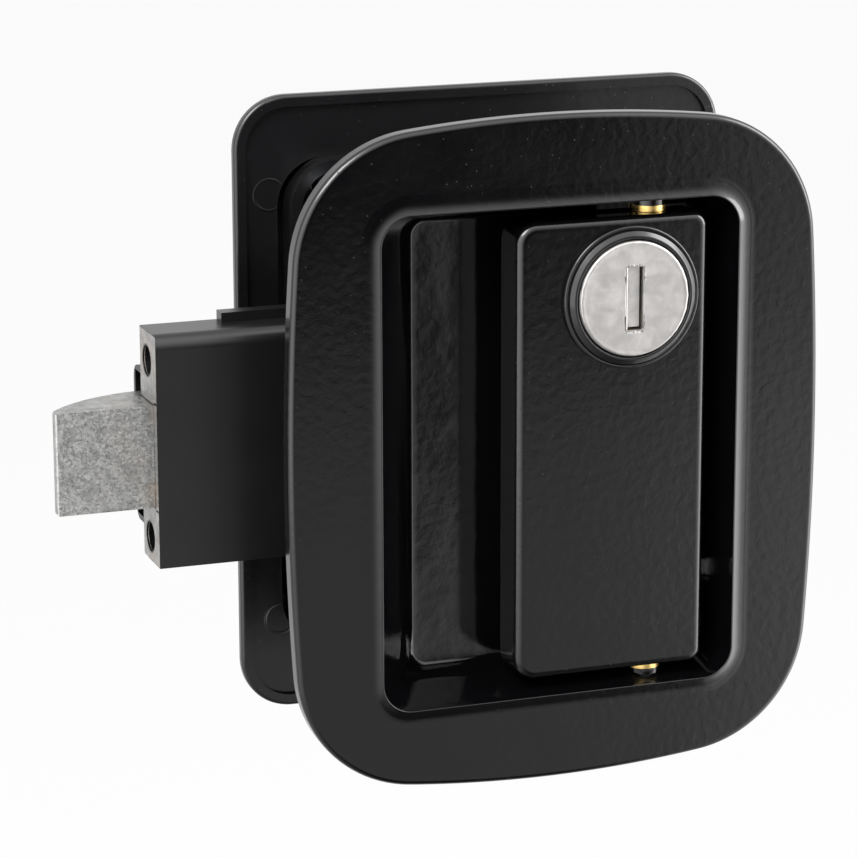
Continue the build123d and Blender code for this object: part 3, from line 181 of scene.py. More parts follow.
class Graph:
    """A node tree that is filled by code."""

    def __init__(self, tree: bpy.types.NodeTree, output: str) -> None:
        """Empties the tree and adds its output node.

        Args:
            tree: The tree.
            output: Blender's type name of the output node.
        """
        self.tree = tree
        tree.nodes.clear()
        self.output = tree.nodes.new(output)

    def node(
        self,
        kind: str,
        inputs: Inputs,
        output: Union[int, str] = 0,
        **settings: object,
    ) -> Wire:
        """Adds one node.

        Args:
            kind: Blender's type name.
            inputs: Values or wires, by input name or number.
            output: Name or number of the output to return.
            settings: Properties of the node.

        Returns:
            The named output.
        """
        made = self.tree.nodes.new(kind)
        for key, value in settings.items():
            setattr(made, key, value)
        for key, value in inputs.items():
            if isinstance(value, Wire):
                self.tree.links.new(value.socket, made.inputs[key])
            else:
                made.inputs[key].default_value = value
        return Wire(self, made.outputs[output])

    def ray(self, kind: str) -> Wire:
        """1 for one kind of ray, else 0.

        Args:
            kind: Name of the Light Path output.

        Returns:
            The wire.
        """
        return self.node("ShaderNodeLightPath", {}, output=kind)

    def end(self, surface: Wire) -> None:
        """Joins a shader to the output.

        Args:
            surface: The shader.
        """
        self.tree.links.new(surface.socket, self.output.inputs[0])


class Shader(Graph):
    """A material with one Principled shader, built by code."""

    def __init__(self, name: str) -> None:
        """Makes an empty material.

        Args:
            name: Name of the material.
        """
        self.material = bpy.data.materials.new(name)
        self.material.use_nodes = True
        super().__init__(self.material.node_tree, "ShaderNodeOutputMaterial")
        self.surface = self.tree.nodes.new("ShaderNodeBsdfPrincipled")
        self.bsdf = Wire(self, self.surface.outputs[0])
        self.end(self.bsdf)
        self.place = self.node("ShaderNodeTexCoord", {}, output="Object")
        self.normal: Optional[Wire] = None

    def axis(self, name: str) -> Wire:
        """One coordinate of the surface point, in millimetres.

        Args:
            name: X, Y or Z.

        Returns:
            The coordinate.
        """
        return self.node("ShaderNodeSeparateXYZ", {0: self.place}, output=name) / MM

    def noise(self, size: float, detail: float = 2.0, rough: float = 0.5, bend: float = 0.0) -> Wire:
        """Soft noise from 0 to 1.

        Args:
            size: Size of the spots in millimetres.
            detail: Number of finer octaves.
            rough: Strength of the finer octaves.
            bend: Distortion.

        Returns:
            The noise.
        """
        inputs: Inputs = {
            "Vector": self.place,
            "Scale": 1.0 / (size * MM),
            "Detail": detail,
            "Roughness": rough,
            "Distortion": bend,
        }
        return self.node("ShaderNodeTexNoise", inputs)

    def cells(self, size: float, feature: str = "F1", output: str = "Distance") -> Wire:
        """Cells of random shape.

        Args:
            size: Size of a cell in millimetres.
            feature: Voronoi feature.
            output: Output of the node.

        Returns:
            The chosen output.
        """
        inputs = {"Vector": self.place, "Scale": 1.0 / (size * MM)}
        return self.node("ShaderNodeTexVoronoi", inputs, output=output, feature=feature)

    def set(self, **values: object) -> "Shader":
        """Sets inputs of the Principled shader.

        Args:
            values: Input names with underscores for spaces, and numbers, colours or wires.

        Returns:
            This shader.
        """
        for key, value in values.items():
            socket = self.surface.inputs[key.replace("_", " ")]
            if isinstance(value, Wire):
                self.tree.links.new(value.socket, socket)
            elif isinstance(value, tuple):
                socket.default_value = (*value, 1.0)
            else:
                socket.default_value = value
        return self

    def bump(self, height: Wire, depth: float) -> "Shader":
        """Adds relief on top of what is there.

        Args:
            height: Height of the relief.
            depth: What a height of 1 means in millimetres.

        Returns:
            This shader.
        """
        inputs: Inputs = {"Height": height, "Distance": depth * MM, "Strength": 1.0}
        if self.normal is not None:
            inputs["Normal"] = self.normal
        self.normal = self.node("ShaderNodeBump", inputs)
        self.tree.links.new(self.normal.socket, self.surface.inputs["Normal"])
        return self


@dataclass(frozen=True)
class EjectorMarks:
    """Shallow rings that ejector pins left on the interior plate."""

    centres: Tuple[Point2, ...]
    radius: float = 2.9
    line: Point2 = (0.08, 0.3)
    face: Point2 = (46.1, 46.4)
    depth: float = 0.05

    def add(self, shader: Shader) -> None:
        """Adds the rings where Y is beyond the plate's face.

        Args:
            shader: The material that grows.
        """
        for x, z in self.centres:
            away_x = shader.axis("X") - x
            away_z = shader.axis("Z") - z
            away = (away_x * away_x + away_z * away_z) ** 0.5
            ring = abs(away - self.radius).ramp(*self.line, 1.0, 0.0)
            shader.bump(ring * shader.axis("Y").ramp(*self.face), self.depth)


@dataclass(frozen=True)
class FloorSag:
    """Soft lean of the recess floor, left of the paddle.

    The height falls evenly with X as far as the paddle's side, and less steeply with Z. A noise
    makes its lines waver, and it fades out up the walls.
    """

    depth: float = 0.036
    middle: float = -17.0
    side: float = -8.0
    lean: float = 0.7
    waver: float = 1.8
    waver_size: float = 7.0
    walls: Point2 = (5.0, 9.6)

    def add(self, shader: Shader) -> None:
        """Adds the lean.

        Args:
            shader: The material that grows.
        """
        waver = shader.noise(self.waver_size, 1.0) * self.waver
        bent = (shader.axis("X") + waver).math("MINIMUM", self.side)
        dip = self.middle - bent - shader.axis("Z") * self.lean
        shader.bump(dip * shader.axis("Y").ramp(*self.walls), self.depth)


@dataclass(frozen=True)
class BeadSwell:
    """Soft bend of the coat over the raised bead round the recess.

    With u the distance inwards from the bead's foot, the slope is u times the square of 1 minus u
    over the reach. The height is the integral of that slope, downwards.
    """

    depth: float = 0.8
    foot: float = 3.0
    reach: float = 2.7

    def add(self, shader: Shader) -> None:
        """Adds the bend.

        Args:
            shader: The material that grows.
        """
        inward = (self.foot - self.outside(shader)).math("MAXIMUM", 0.0).math("MINIMUM", self.reach)
        cubic = 2.0 / (3.0 * self.reach)
        quartic = 1.0 / (4.0 * self.reach**2)
        shader.bump(inward * inward * (inward * (cubic - inward * quartic) - 0.5), self.depth)

    @staticmethod
    def outside(shader: Shader) -> Wire:
        """Distance outside the recess's mouth in the front plane, in millimetres.

        It is the distance to the inner rectangle that the corner radius leaves, less that radius.

        Args:
            shader: The material that grows.

        Returns:
            The distance, negative inside.
        """
        across = (abs(shader.axis("X")) - (OPENING_X - OPENING_CORNER)).math("MAXIMUM", 0.0)
        upward = (abs(shader.axis("Z")) - (OPENING_Z - OPENING_CORNER)).math("MAXIMUM", 0.0)
        return (across * across + upward * upward) ** 0.5 - OPENING_CORNER


Relief = Union[EjectorMarks, FloorSag, BeadSwell]


@dataclass(frozen=True)
class PowderCoat:
    """Glossy black powder coat: soft orange peel, fine grain, faint dull patches and specks."""

    colour: Colour = (0.0016, 0.0016, 0.0019)
    lighter: float = 2.1
    gloss: float = 0.115
    patch_size: float = 9.0
    grain_size: float = 0.32
    grain_depth: float = 0.006
    speck_gap: float = 1.7
    speck_depth: float = 0.02
    peel: float = 1.7
    peel_depth: float = 0.018
    reliefs: Tuple[Relief, ...] = ()

    def build(self, name: str) -> bpy.types.Material:
        """Makes the material.

        The noises add about 0.05 to the roughness, which the last term takes off.

        Args:
            name: Name of the material.

        Returns:
            The material.
        """
        shader = Shader(name)
        patches = shader.noise(self.patch_size, 3.0)
        grain = shader.noise(self.grain_size, 2.0, 0.6)
        specks = shader.cells(self.speck_gap).ramp(0.03, 0.09, 1.0, 0.0)
        second = tuple(self.lighter * part for part in self.colour)
        shader.set(
            Base_Color=(patches * 0.6 + grain * 0.4).between(self.colour, second),
            Roughness=patches * 0.07 + grain * 0.05 + specks * 0.12 + (self.gloss - 0.05),
            IOR=1.52,
            Specular_IOR_Level=0.5,
        )
        waves = shader.noise(self.peel, 1.0, 0.35, 0.3)
        shader.bump(waves, self.peel_depth)
        shader.bump(grain, self.grain_depth)
        shader.bump(specks, self.speck_depth)
        for relief in self.reliefs:
            relief.add(shader)
        return shader.material


@dataclass(frozen=True)
class CastMetal:
    """Bare die casting: mottled grey, grainy, with small crystals that catch the light.

    A warm stain grows with X between its two limits.
    """

    dark: Colour = (0.22, 0.22, 0.217)
    light: Colour = (0.55, 0.545, 0.53)
    stain: Colour = (0.42, 0.34, 0.27)
    stain_limits: Point2 = (-78.0, -62.0)
    stain_size: float = 6.0
    stain_share: float = 0.75
    rough: float = 0.42
    mottle: float = 2.6
    mottle_depth: float = 0.05
    crystal: float = 0.42
    grain: float = 0.16
    grain_depth: float = 0.012

    def build(self, name: str) -> bpy.types.Material:
        """Makes the material.

        Args:
            name: Name of the material.

        Returns:
            The material.
        """
        shader = Shader(name)
        cloud = shader.noise(self.mottle, 5.0, 0.62, 0.6)
        crystals = shader.cells(self.crystal, output="Color")
        spark = shader.node("ShaderNodeSeparateColor", {0: crystals}, output=0)
        fine = shader.noise(self.grain, 3.0, 0.7)
        shade = (cloud * 0.75 + spark * 0.14 + fine * 0.3 - 0.08).ramp(0.2, 0.9)
        spots = shader.noise(self.stain_size, 2.0).ramp(0.42, 0.7)
        stained = shader.axis("X").ramp(*self.stain_limits) * spots
        clean = shade.between(self.dark, self.light)
        mixed = shader.node(
            "ShaderNodeMix",
            {0: stained * self.stain_share, 6: clean, 7: (*self.stain, 1.0)},
            output=2,
            data_type="RGBA",
        )
        shader.set(
            Base_Color=mixed,
            Metallic=1.0,
            Roughness=self.rough + spark * 0.16 - cloud * 0.12,
        )
        shader.bump(cloud, self.mottle_depth)
        shader.bump(spark, self.grain_depth)
        shader.bump(fine, self.grain_depth)
        return shader.material


@dataclass(frozen=True)
class PlatedMetal:
    """Plated or bare metal with faint drawn lines, handling marks and a soft grain."""

    colour: Colour
    second: Colour
    rough: float = 0.32
    line: float = 0.25
    line_depth: float = 0.008
    cloud: float = 3.0
    scratch_gap: float = 1.1
    scratch_depth: float = 0.004
    metallic: float = 1.0

    def build(self, name: str) -> bpy.types.Material:
        """Makes the material.

        The noises add about 0.1 to the roughness, which the last term takes off.

        Args:
            name: Name of the material.

        Returns:
            The material.
        """
        shader = Shader(name)
        cloud = shader.noise(self.cloud, 3.0, 0.55, 0.4)
        grain = shader.noise(self.line, 3.0, 0.6)
        scratches = shader.cells(self.scratch_gap, "DISTANCE_TO_EDGE").ramp(0.0, 0.02, 1.0, 0.0)
        shader.set(
            Base_Color=(cloud * 0.8 + grain * 0.2).ramp(0.3, 0.75).between(self.colour, self.second),
            Metallic=self.metallic,
            Roughness=cloud * 0.12 + grain * 0.08 + scratches * 0.05 + (self.rough - 0.1),
        )
        shader.bump(grain, self.line_depth)
        shader.bump(scratches, self.scratch_depth)
        return shader.material


@dataclass(frozen=True)
class FoamRubber:
    """Closed-cell foam: matt black with small open pores on its cut faces, painted darker inside the pores
    as painted shade.
    """

    colour: Colour = (0.012, 0.012, 0.012)
    # Painted shade: the darker colour at the centres of the pores' hollows.
    pore_shade: Colour = (0.004, 0.004, 0.004)
    pore: float = 0.5
    pore_depth: float = 0.12
    grain: float = 0.2
    grain_depth: float = 0.03
    rough: float = 0.85

    def build(self, name: str) -> bpy.types.Material:
        """Makes the material.

        Args:
            name: Name of the material.

        Returns:
            The material.
        """
        shader = Shader(name)
        pores = shader.cells(self.pore).ramp(0.15, 0.6)
        fine = shader.noise(self.grain, 2.0)
        shader.set(
            # The pores' centres take the painted shade colour, the rest takes the foam's own colour.
            Base_Color=pores.between(self.pore_shade, self.colour),
            Roughness=fine * 0.1 + self.rough,
        )
        shader.bump(pores, self.pore_depth)
        shader.bump(fine, self.grain_depth)
        return shader.material


Finish = Union[PowderCoat, CastMetal, PlatedMetal, FoamRubber]


class Loop:
    """Closed outlines in X and Z with the same number of points, so that any two can be joined."""

    SIDE = 26
    CORNER = 22

    @staticmethod
    def _spread(start: float, end: float, count: int) -> np.ndarray:
        """Evenly spaced values without the last.

        Args:
            start: First value.
            end: Value after the last.
            count: Number of values.

        Returns:
            The values.
        """
        return start + (end - start) * np.arange(count) / count

    @classmethod
    def rounded(
        cls,
        half_x: float,
        half_z: float,
        radius: Union[float, Tuple[float, float]],
        centre: Point2 = (0.0, 0.0),
    ) -> np.ndarray:
        """Rectangle with round corners.

        Each corner is a quarter circle about the point one radius in from both sides.

        Args:
            half_x: Half width.
            half_z: Half height.
            radius: Corner radius, or one for the right and one for the left corners.
            centre: Centre of the rectangle.

        Returns:
            Points of the outline.
        """
        right, left = radius if isinstance(radius, tuple) else (radius, radius)
        corners = ((1, 1, right), (-1, 1, left), (-1, -1, left), (1, -1, right))
        before = (half_x, -(half_z - right))
        points: List[Point2] = []
        for number, (sign_x, sign_z, bend) in enumerate(corners):
            middle = (sign_x * (half_x - bend), sign_z * (half_z - bend))
            first = number * pi / 2
            start = (middle[0] + bend * cos(first), middle[1] + bend * sin(first))
            for step in cls._spread(0.0, 1.0, cls.SIDE):
                x = before[0] + (start[0] - before[0]) * step
                z = before[1] + (start[1] - before[1]) * step
                points.append((x, z))
            for angle in cls._spread(first, first + pi / 2, cls.CORNER):
                points.append((middle[0] + bend * cos(angle), middle[1] + bend * sin(angle)))
            last = first + pi / 2
            before = (middle[0] + bend * cos(last), middle[1] + bend * sin(last))
        return np.array(points) + np.array(centre)

    @classmethod
    def bowed(
        cls,
        half_x: float,
        half_z: float,
        bow_x: float,
        bow_z: float,
        radius: float,
        inset: float = 0.0,
    ) -> np.ndarray:
        """Outline of four shallow arcs with round corners.

        Each side is an arc through its middle and the two corner points. A corner's centre is one
        radius inside both arcs, found where two circles about the arcs' centres cross.

        Args:
            half_x: Half width at the middle.
            half_z: Half height at the middle.
            bow_x: How much narrower it is at the corner points.
            bow_z: How much lower it is at the corner points.
            radius: Corner radius.
            inset: How far inside the outline the loop runs.

        Returns:
            Points of the outline.
        """
        corner_x = half_x - bow_x
        corner_z = half_z - bow_z
        side = (corner_z**2 + bow_x**2) / (2 * bow_x)
        end = (corner_x**2 + bow_z**2) / (2 * bow_z)
        side_centre = np.array([half_x - side, 0.0])
        end_centre = np.array([0.0, half_z - end])
        gap = end_centre - side_centre
        distance = hypot(*gap)
        along = ((side - radius) ** 2 - (end - radius) ** 2 + distance**2) / (2 * distance)
        across = sqrt((side - radius) ** 2 - along**2)
        unit = gap / distance
        middle = side_centre + along * unit - across * np.array([unit[1], -unit[0]])
        if middle[0] < 0 or middle[1] < 0:
            middle = side_centre + along * unit + across * np.array([unit[1], -unit[0]])
        alpha = atan2(*(middle - side_centre)[::-1])
        beta = atan2(*(middle - end_centre)[::-1])
        quarters: List[np.ndarray] = []
        for number in range(4):
            flip = np.array([1 if number in (0, 3) else -1, 1 if number < 2 else -1])
            if number % 2 == 0:
                first = cls._arc(side_centre, side - inset, -alpha, alpha, cls.SIDE)
                second = cls._arc(middle, radius - inset, alpha, beta, cls.CORNER)
            else:
                first = cls._arc(end_centre, end - inset, pi - beta, beta, cls.SIDE)
                second = cls._arc(middle, radius - inset, beta, alpha, cls.CORNER)
            quarters.extend((first * flip, second * flip))
        return np.concatenate(quarters)

    @classmethod
    def _arc(cls, centre: np.ndarray, radius: float, start: float, end: float, count: int) -> np.ndarray:
        """Points on an arc without the last.

        Args:
            centre: Centre of the arc.
            radius: Its radius.
            start: First angle.
            end: Angle after the last.
            count: Number of points.

        Returns:
            The points.
        """
        angles = cls._spread(start, end, count)
        return centre + radius * np.stack([np.cos(angles), np.sin(angles)], -1)

    @staticmethod
    def about(centre: Point2, radius: float, like: np.ndarray) -> np.ndarray:
        """Circle whose points lie in the same directions as those of another loop.

        Args:
            centre: Centre of the circle.
            radius: Its radius.
            like: The other loop.

        Returns:
            Points of the circle.
        """
        away = like - np.array(centre)
        return np.array(centre) + radius * away / np.linalg.norm(away, axis=1, keepdims=True)


def at_depth(loop: np.ndarray, depth: float) -> np.ndarray:
    """Puts an outline in X and Z at a depth.

    Args:
        loop: Points in X and Z.
        depth: Value of Y.

    Returns:
        Points in X, Y and Z.
    """
    return np.stack([loop[:, 0], np.full(len(loop), depth), loop[:, 1]], -1)


@dataclass
class Piece:
    """A new mesh made of grids of points, in millimetres."""

    name: str
    body: Body
    slot: Slot
    points: List[np.ndarray] = field(default_factory=list)
    faces: List[np.ndarray] = field(default_factory=list)
    count: int = 0

    def grid(self, rows: Sequence[np.ndarray], closed: bool = True, flip: bool = False) -> None:
        """Adds a surface through rows of points.

        Args:
            rows: Rows with the same number of points.
            closed: True if the last point of a row joins the first.
            flip: True to turn the faces over.
        """
        block = np.stack(rows)
        height, width = block.shape[:2]
        index = self.count + np.arange(height * width).reshape(height, width)
        across = np.roll(index, -1, axis=1) if closed else index[:, 1:]
        start = index if closed else index[:, :-1]
        quads = np.stack([start[:-1], across[:-1], across[1:], start[1:]], -1).reshape(-1, 4)
        self.faces.append(quads[:, ::-1] if flip else quads)
        self.points.append(block.reshape(-1, 3))
        self.count += height * width

    def finish(self, material: bpy.types.Material) -> bpy.types.Object:
        """Makes the Blender object and lets it ride on its body.

        Args:
            material: Its material.

        Returns:
            The object.
        """
        mesh = bpy.data.meshes.new(self.name)
        points = (np.concatenate(self.points) * MM).tolist()
        mesh.from_pydata(points, [], np.concatenate(self.faces).tolist())
        mesh.materials.append(material)
        mesh.polygons.foreach_set("use_smooth", np.ones(len(mesh.polygons), bool))
        mesh.update()
        made = bpy.data.objects.new(self.name, mesh)
        bpy.context.scene.collection.objects.link(made)
        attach(made, self.body.value)
        LOG.info("%s: %d faces on %s", self.name, len(mesh.polygons), self.body.value)
        return made


def quarter(count: int, share: float = 1.0) -> np.ndarray:
    """Angles of a rounded edge.

    Args:
        count: Number of angles.
        share: Share of a quarter turn.

    Returns:
        Angles from 0 to share times a quarter turn.
    """
    return np.linspace(0.0, share * pi / 2, count)


@dataclass
class Bezel:
    """Visible skin of the exterior housing: edge, face, raised bead, recess walls and floor."""

    half_x: float = 50.0
    half_z: float = 60.325
    bow_x: float = 2.9
    bow_z: float = 4.6
    corner: float = 23.5
    edge: float = 1.0
    side_depths: Tuple[float, ...] = (-0.1, -0.9, -1.7, -2.15)
    face_insets: Tuple[float, ...] = (1.25, 1.8, 3.0)
    bead: float = 2.7
    rise: float = 0.9
    crest: float = 0.7
    soft: float = 0.12
    run_out: float = 0.3
    mouth: float = 0.12
    floor: float = 10.4
    floor_x: float = 27.2
    floor_z: float = 41.0
    floor_corner: float = 3.0
    floor_centre: float = 3.8
    foot: float = 0.7
    arm_slot: Tuple[float, float, float, float] = (10.3, 26.7, -31.2, -27.2)
    arm_slot_corner: float = 0.3

    def wall(self, depth: float, inset: float) -> np.ndarray:
        """Outline of the recess at a depth.

        Width, height, corner radius and centre change evenly from the opening to the floor.

        Args:
            depth: Value of Y.
            inset: Distance inside the wall.

        Returns:
            The outline.
        """
        share = (depth - FRONT) / (self.floor - FRONT)
        half_x = OPENING_X + (self.floor_x - OPENING_X) * share - inset
        half_z = OPENING_Z + (self.floor_z - OPENING_Z) * share - inset
        bend = OPENING_CORNER + (self.floor_corner - OPENING_CORNER) * share - inset
        return Loop.rounded(half_x, half_z, bend, (self.floor_centre * share, 0.0))

    def edge_rows(self) -> List[np.ndarray]:
        """Rows from the back of the flange round its front edge.

        The edge is a quarter circle: the inset grows as 1 minus the cosine, the height as the sine.

        Returns:
            Rows of points.
        """
        shape = (self.half_x, self.half_z, self.bow_x, self.bow_z, self.corner)
        rows = [at_depth(Loop.bowed(*shape, -SKIN), depth) for depth in self.side_depths]
        reach = self.edge + SKIN
        for angle in quarter(10):
            loop = Loop.bowed(*shape, self.edge - reach * cos(angle))
            rows.append(at_depth(loop, FRONT + self.edge - reach * sin(angle)))
        for inset in self.face_insets:
            rows.append(at_depth(Loop.bowed(*shape, inset), FRONT - SKIN))
        return rows

    def bead_rows(self) -> List[np.ndarray]:
        """Rows from the flat face over the raised bead into the opening.

        The height is half the sum of a straight line and of the root of its square plus the square
        of the softness, so the bead has a soft foot. It turns over a small quarter circle into the
        recess.

        Returns:
            Rows of points.
        """
        rows: List[np.ndarray] = []
        slope = self.rise / (self.bead - self.crest)
        steps = [(self.bead + 2 * self.run_out, 0.0)]
        for out in np.linspace(self.bead + self.run_out, self.mouth, 16):
            climb = slope * (self.bead - out)
            steps.append((out, (climb + hypot(climb, self.soft)) / 2 + SKIN))
        crown = steps[-1][1] - SKIN
        reach = self.mouth + SKIN
        for angle in quarter(6)[1:]:
            steps.append((self.mouth - reach * sin(angle), crown - self.mouth + reach * cos(angle)))
        for out, height in steps:
            loop = Loop.rounded(OPENING_X + out, OPENING_Z + out, OPENING_CORNER + out)
            rows.append(at_depth(loop, FRONT - max(height, SKIN)))
        return rows

    def floor_rows(self) -> List[np.ndarray]:
        """Rows down the recess wall, round its foot and across the floor to the arm's slot.

        The foot is a quarter circle between wall and floor.

        Returns:
            Rows of points.
        """
        above_mouth = 0.2
        rows = [at_depth(self.wall(FRONT, SKIN), FRONT - above_mouth)]
        for depth in np.linspace(FRONT, self.floor - self.foot, 12):
            rows.append(at_depth(self.wall(depth, SKIN), depth))
        for angle in quarter(12)[1:]:
            inset = SKIN + self.foot * (1 - cos(angle))
            depth = self.floor - SKIN - self.foot * (1 - sin(angle))
            rows.append(at_depth(self.wall(depth, inset), depth))
        left, right, low, high = self.arm_slot
        middle = ((left + right) / 2, (low + high) / 2)
        hole = Loop.rounded((right - left) / 2, (high - low) / 2, self.arm_slot_corner, middle)
        rim = rows[-1][:, [0, 2]]
        for share in (0.03, 0.2, 0.45, 0.7, 0.9, 0.98, 1.0):
            rows.append(at_depth(rim + (hole - rim) * share, self.floor - SKIN))
        return rows

    def build(self, finish: bpy.types.Material) -> None:
        """Makes the piece.

        Args:
            finish: Its material.
        """
        piece = Piece("bezel_skin", Body.HOUSING, Slot.COAT)
        edge = self.edge_rows()
        bead = self.bead_rows()
        outer = edge[-1]
        inner = bead[0]
        between = [outer + (inner - outer) * share for share in (0.25, 0.5, 0.75, 0.95)]
        piece.grid(edge + between + bead + self.floor_rows())
        piece.finish(finish)


@dataclass
class PaddleFace:
    """Skin of the paddle's front and sides, with the hole for the key cylinder."""

    centre_x: float = 9.95
    half_x: float = 18.15
    half_z: float = 41.5
    left: float = 4.0
    right: float = 2.5
    sharpest: float = 0.5
    side_depths: Tuple[float, ...] = (4.45, 2.5, 0.5, -1.6)
    edge: float = 1.5
    face_inset: float = 0.3
    barrel: float = 9.0

    def outline(self, inset: float) -> np.ndarray:
        """Outline of the paddle.

        Args:
            inset: Distance inside the outline.

        Returns:
            The outline.
        """
        radii = (max(self.right - inset, self.sharpest), max(self.left - inset, self.sharpest))
        return Loop.rounded(self.half_x - inset, self.half_z - inset, radii, (self.centre_x, 0.0))

    def build(self, finish: bpy.types.Material) -> None:
        """Makes the piece: sides, an edge that is a quarter circle, and the face.

        Args:
            finish: Its material.
        """
        rows = [at_depth(self.outline(-SKIN), depth) for depth in self.side_depths]
        reach = self.edge + SKIN
        for angle in quarter(10):
            loop = self.outline(self.edge - reach * cos(angle))
            rows.append(at_depth(loop, FRONT + self.edge - reach * sin(angle)))
        rim = self.outline(self.edge + self.face_inset)
        hole = Loop.about((KEY_X, KEY_Z), self.barrel, rim)
        for share in (0.0, 0.15, 0.35, 0.55, 0.75, 0.92, 1.0):
            rows.append(at_depth(rim + (hole - rim) * share, FRONT - SKIN))
        piece = Piece("paddle_skin", Body.PADDLE, Slot.COAT)
        piece.grid(rows)
        piece.finish(finish)


@dataclass
class KeyCylinder:
    """The key cylinder: turned ring and barrel, and the bright face with its keyway."""

    ring: float = 12.8
    top: float = -5.1
    recess: float = 10.55
    shoulder: float = -3.9
    bore: float = 6.35
    barrel: float = 8.5
    back: float = 5.2
    chamfer: float = 0.3
    inner_edge: Point2 = (0.3, 0.35)
    crown_start: float = 0.42
    crown_bend: float = 0.5
    crown_share: float = 0.37
    bevel: Point2 = (0.65, 0.43)
    groove: Point2 = (12.05, 1.25)
    groove_side: Point2 = (0.12, 0.07)
    lip: Point2 = (12.45, 1.2)
    lip_half: Point2 = (0.35, 0.34)
    clip_groove: Point2 = (3.55, 4.55)
    clip_radius: float = 7.8
    clip_slant: float = 0.05
    face: float = 10.3
    face_front: float = -5.45
    face_back: float = -3.95
    face_edge: Point2 = (0.4, 0.45)
    face_rim: Tuple[float, float, float] = (9.75, 9.6, 9.3)
    keyway: Point2 = (3.4, 11.4)
    keyway_corner: float = 0.12
    keyway_lip: float = 0.08
    keyway_depth: float = 1.2

    def turned(self, profile: Sequence[Tuple[float, float]]) -> List[np.ndarray]:
        """Rows of a turned piece.

        Every point of the profile goes once round the cylinder's axis.

        Args:
            profile: Pairs of radius and depth.

        Returns:
            Rows of points.
        """
        angles = np.linspace(0.0, 2 * pi, 160, endpoint=False)
        rows = []
        for radius, depth in profile:
            loop = np.stack([KEY_X + radius * np.cos(angles), KEY_Z + radius * np.sin(angles)], -1)
            rows.append(at_depth(loop, depth))
        return rows

    def ring_profile(self) -> List[Tuple[float, float]]:
        """Profile of ring and barrel, from the bore round the front to the back.

        A thin outer lip, a groove, a bevelled main ring and the recess for the face.

        Returns:
            Pairs of radius and depth.
        """
        wide, pore_shade = self.inner_edge
        profile = [(self.bore, self.shoulder), (self.recess, self.shoulder), (self.recess, self.top + pore_shade)]
        for angle in quarter(7)[1:]:
            profile.append((self.recess + wide * (1 - cos(angle)), self.top + pore_shade * (1 - sin(angle))))
        start = self.recess + self.crown_start
        bend = self.crown_bend
        for angle in quarter(8, self.crown_share)[1:]:
            profile.append((start + bend * sin(angle), self.top + bend * (1 - cos(angle))))
        radius, depth = profile[-1]
        wide, pore_shade = self.bevel
        profile += [(radius + share * wide, depth + share * pore_shade) for share in (0.5, 0.97, 1.0)]
        radius = self.groove[0]
        bottom = self.top + self.groove[1]
        side, step = self.groove_side
        profile += [(radius - side, depth + pore_shade + step), (radius - step, bottom - step), (radius, bottom)]
        half, height = self.lip_half
        for angle in np.linspace(0.0, pi, 10):
            profile.append((self.lip[0] - half * cos(angle), self.top + self.lip[1] - height * sin(angle)))
        near, far = self.clip_groove
        profile += [(self.ring, FRONT), (self.barrel, FRONT), (self.barrel, near)]
        profile += [(self.clip_radius, near + self.clip_slant), (self.clip_radius, far - self.clip_slant)]
        profile += [(self.barrel, far), (self.barrel, self.back - self.chamfer)]
        profile += [(self.barrel - self.chamfer, self.back), (self.bore, self.back)]
        profile.append((self.bore, self.shoulder))
        return profile

    def build_ring(self, finish: bpy.types.Material) -> None:
        """Makes the ring and barrel in place of the CAD node.

        Args:
            finish: Its material.
        """
        piece = Piece("cylinder_ring", Body.PADDLE, Slot.TRIM)
        piece.grid(self.turned(self.ring_profile()), flip=True)
        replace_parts(piece.finish(finish), "cylinder_shell")

    def build_face(self, finish: bpy.types.Material) -> None:
        """Makes the face disc: side, small chamfer, raised rim, and the flat with the keyway in it.

        Args:
            finish: Its material.
        """
        piece = Piece("cylinder_face", Body.PLUG, Slot.NICKEL)
        axis = (KEY_X, KEY_Z)
        width, height = self.keyway
        keyway = Loop.rounded(width / 2 - SKIN, height / 2 - SKIN, self.keyway_corner, axis)

        def circle(radius: float, depth: float) -> np.ndarray:
            """Circle about the axis with its points in the directions of the keyway's."""
            return at_depth(Loop.about(axis, radius, keyway), depth)

        side = self.face + SKIN
        wide, pore_shade = self.face_edge
        rows = [circle(side, self.face_back), circle(side, self.face_front + wide)]
        for angle in quarter(8)[1:]:
            level = self.face_front + wide - pore_shade * sin(angle)
            rows.append(circle(side - wide * (1 - cos(angle)), level))
        outer, inner, start = self.face_rim
        level = self.face_front - SKIN
        rim = circle(start, level)
        flat = at_depth(keyway, level)
        lip = Loop.rounded(width / 2 + self.keyway_lip, height / 2 + self.keyway_lip, 0.2, axis)
        rows += [circle(outer, self.face_front - pore_shade + wide), circle(inner, level), rim]
        rows += [rim + (flat - rim) * share for share in (0.3, 0.6, 0.85, 0.97)]
        rows += [at_depth(lip, level), at_depth(keyway, level + self.keyway_lip)]
        rows += [at_depth(keyway, level + self.keyway_depth)]
        piece.grid(rows)
        piece.finish(finish)


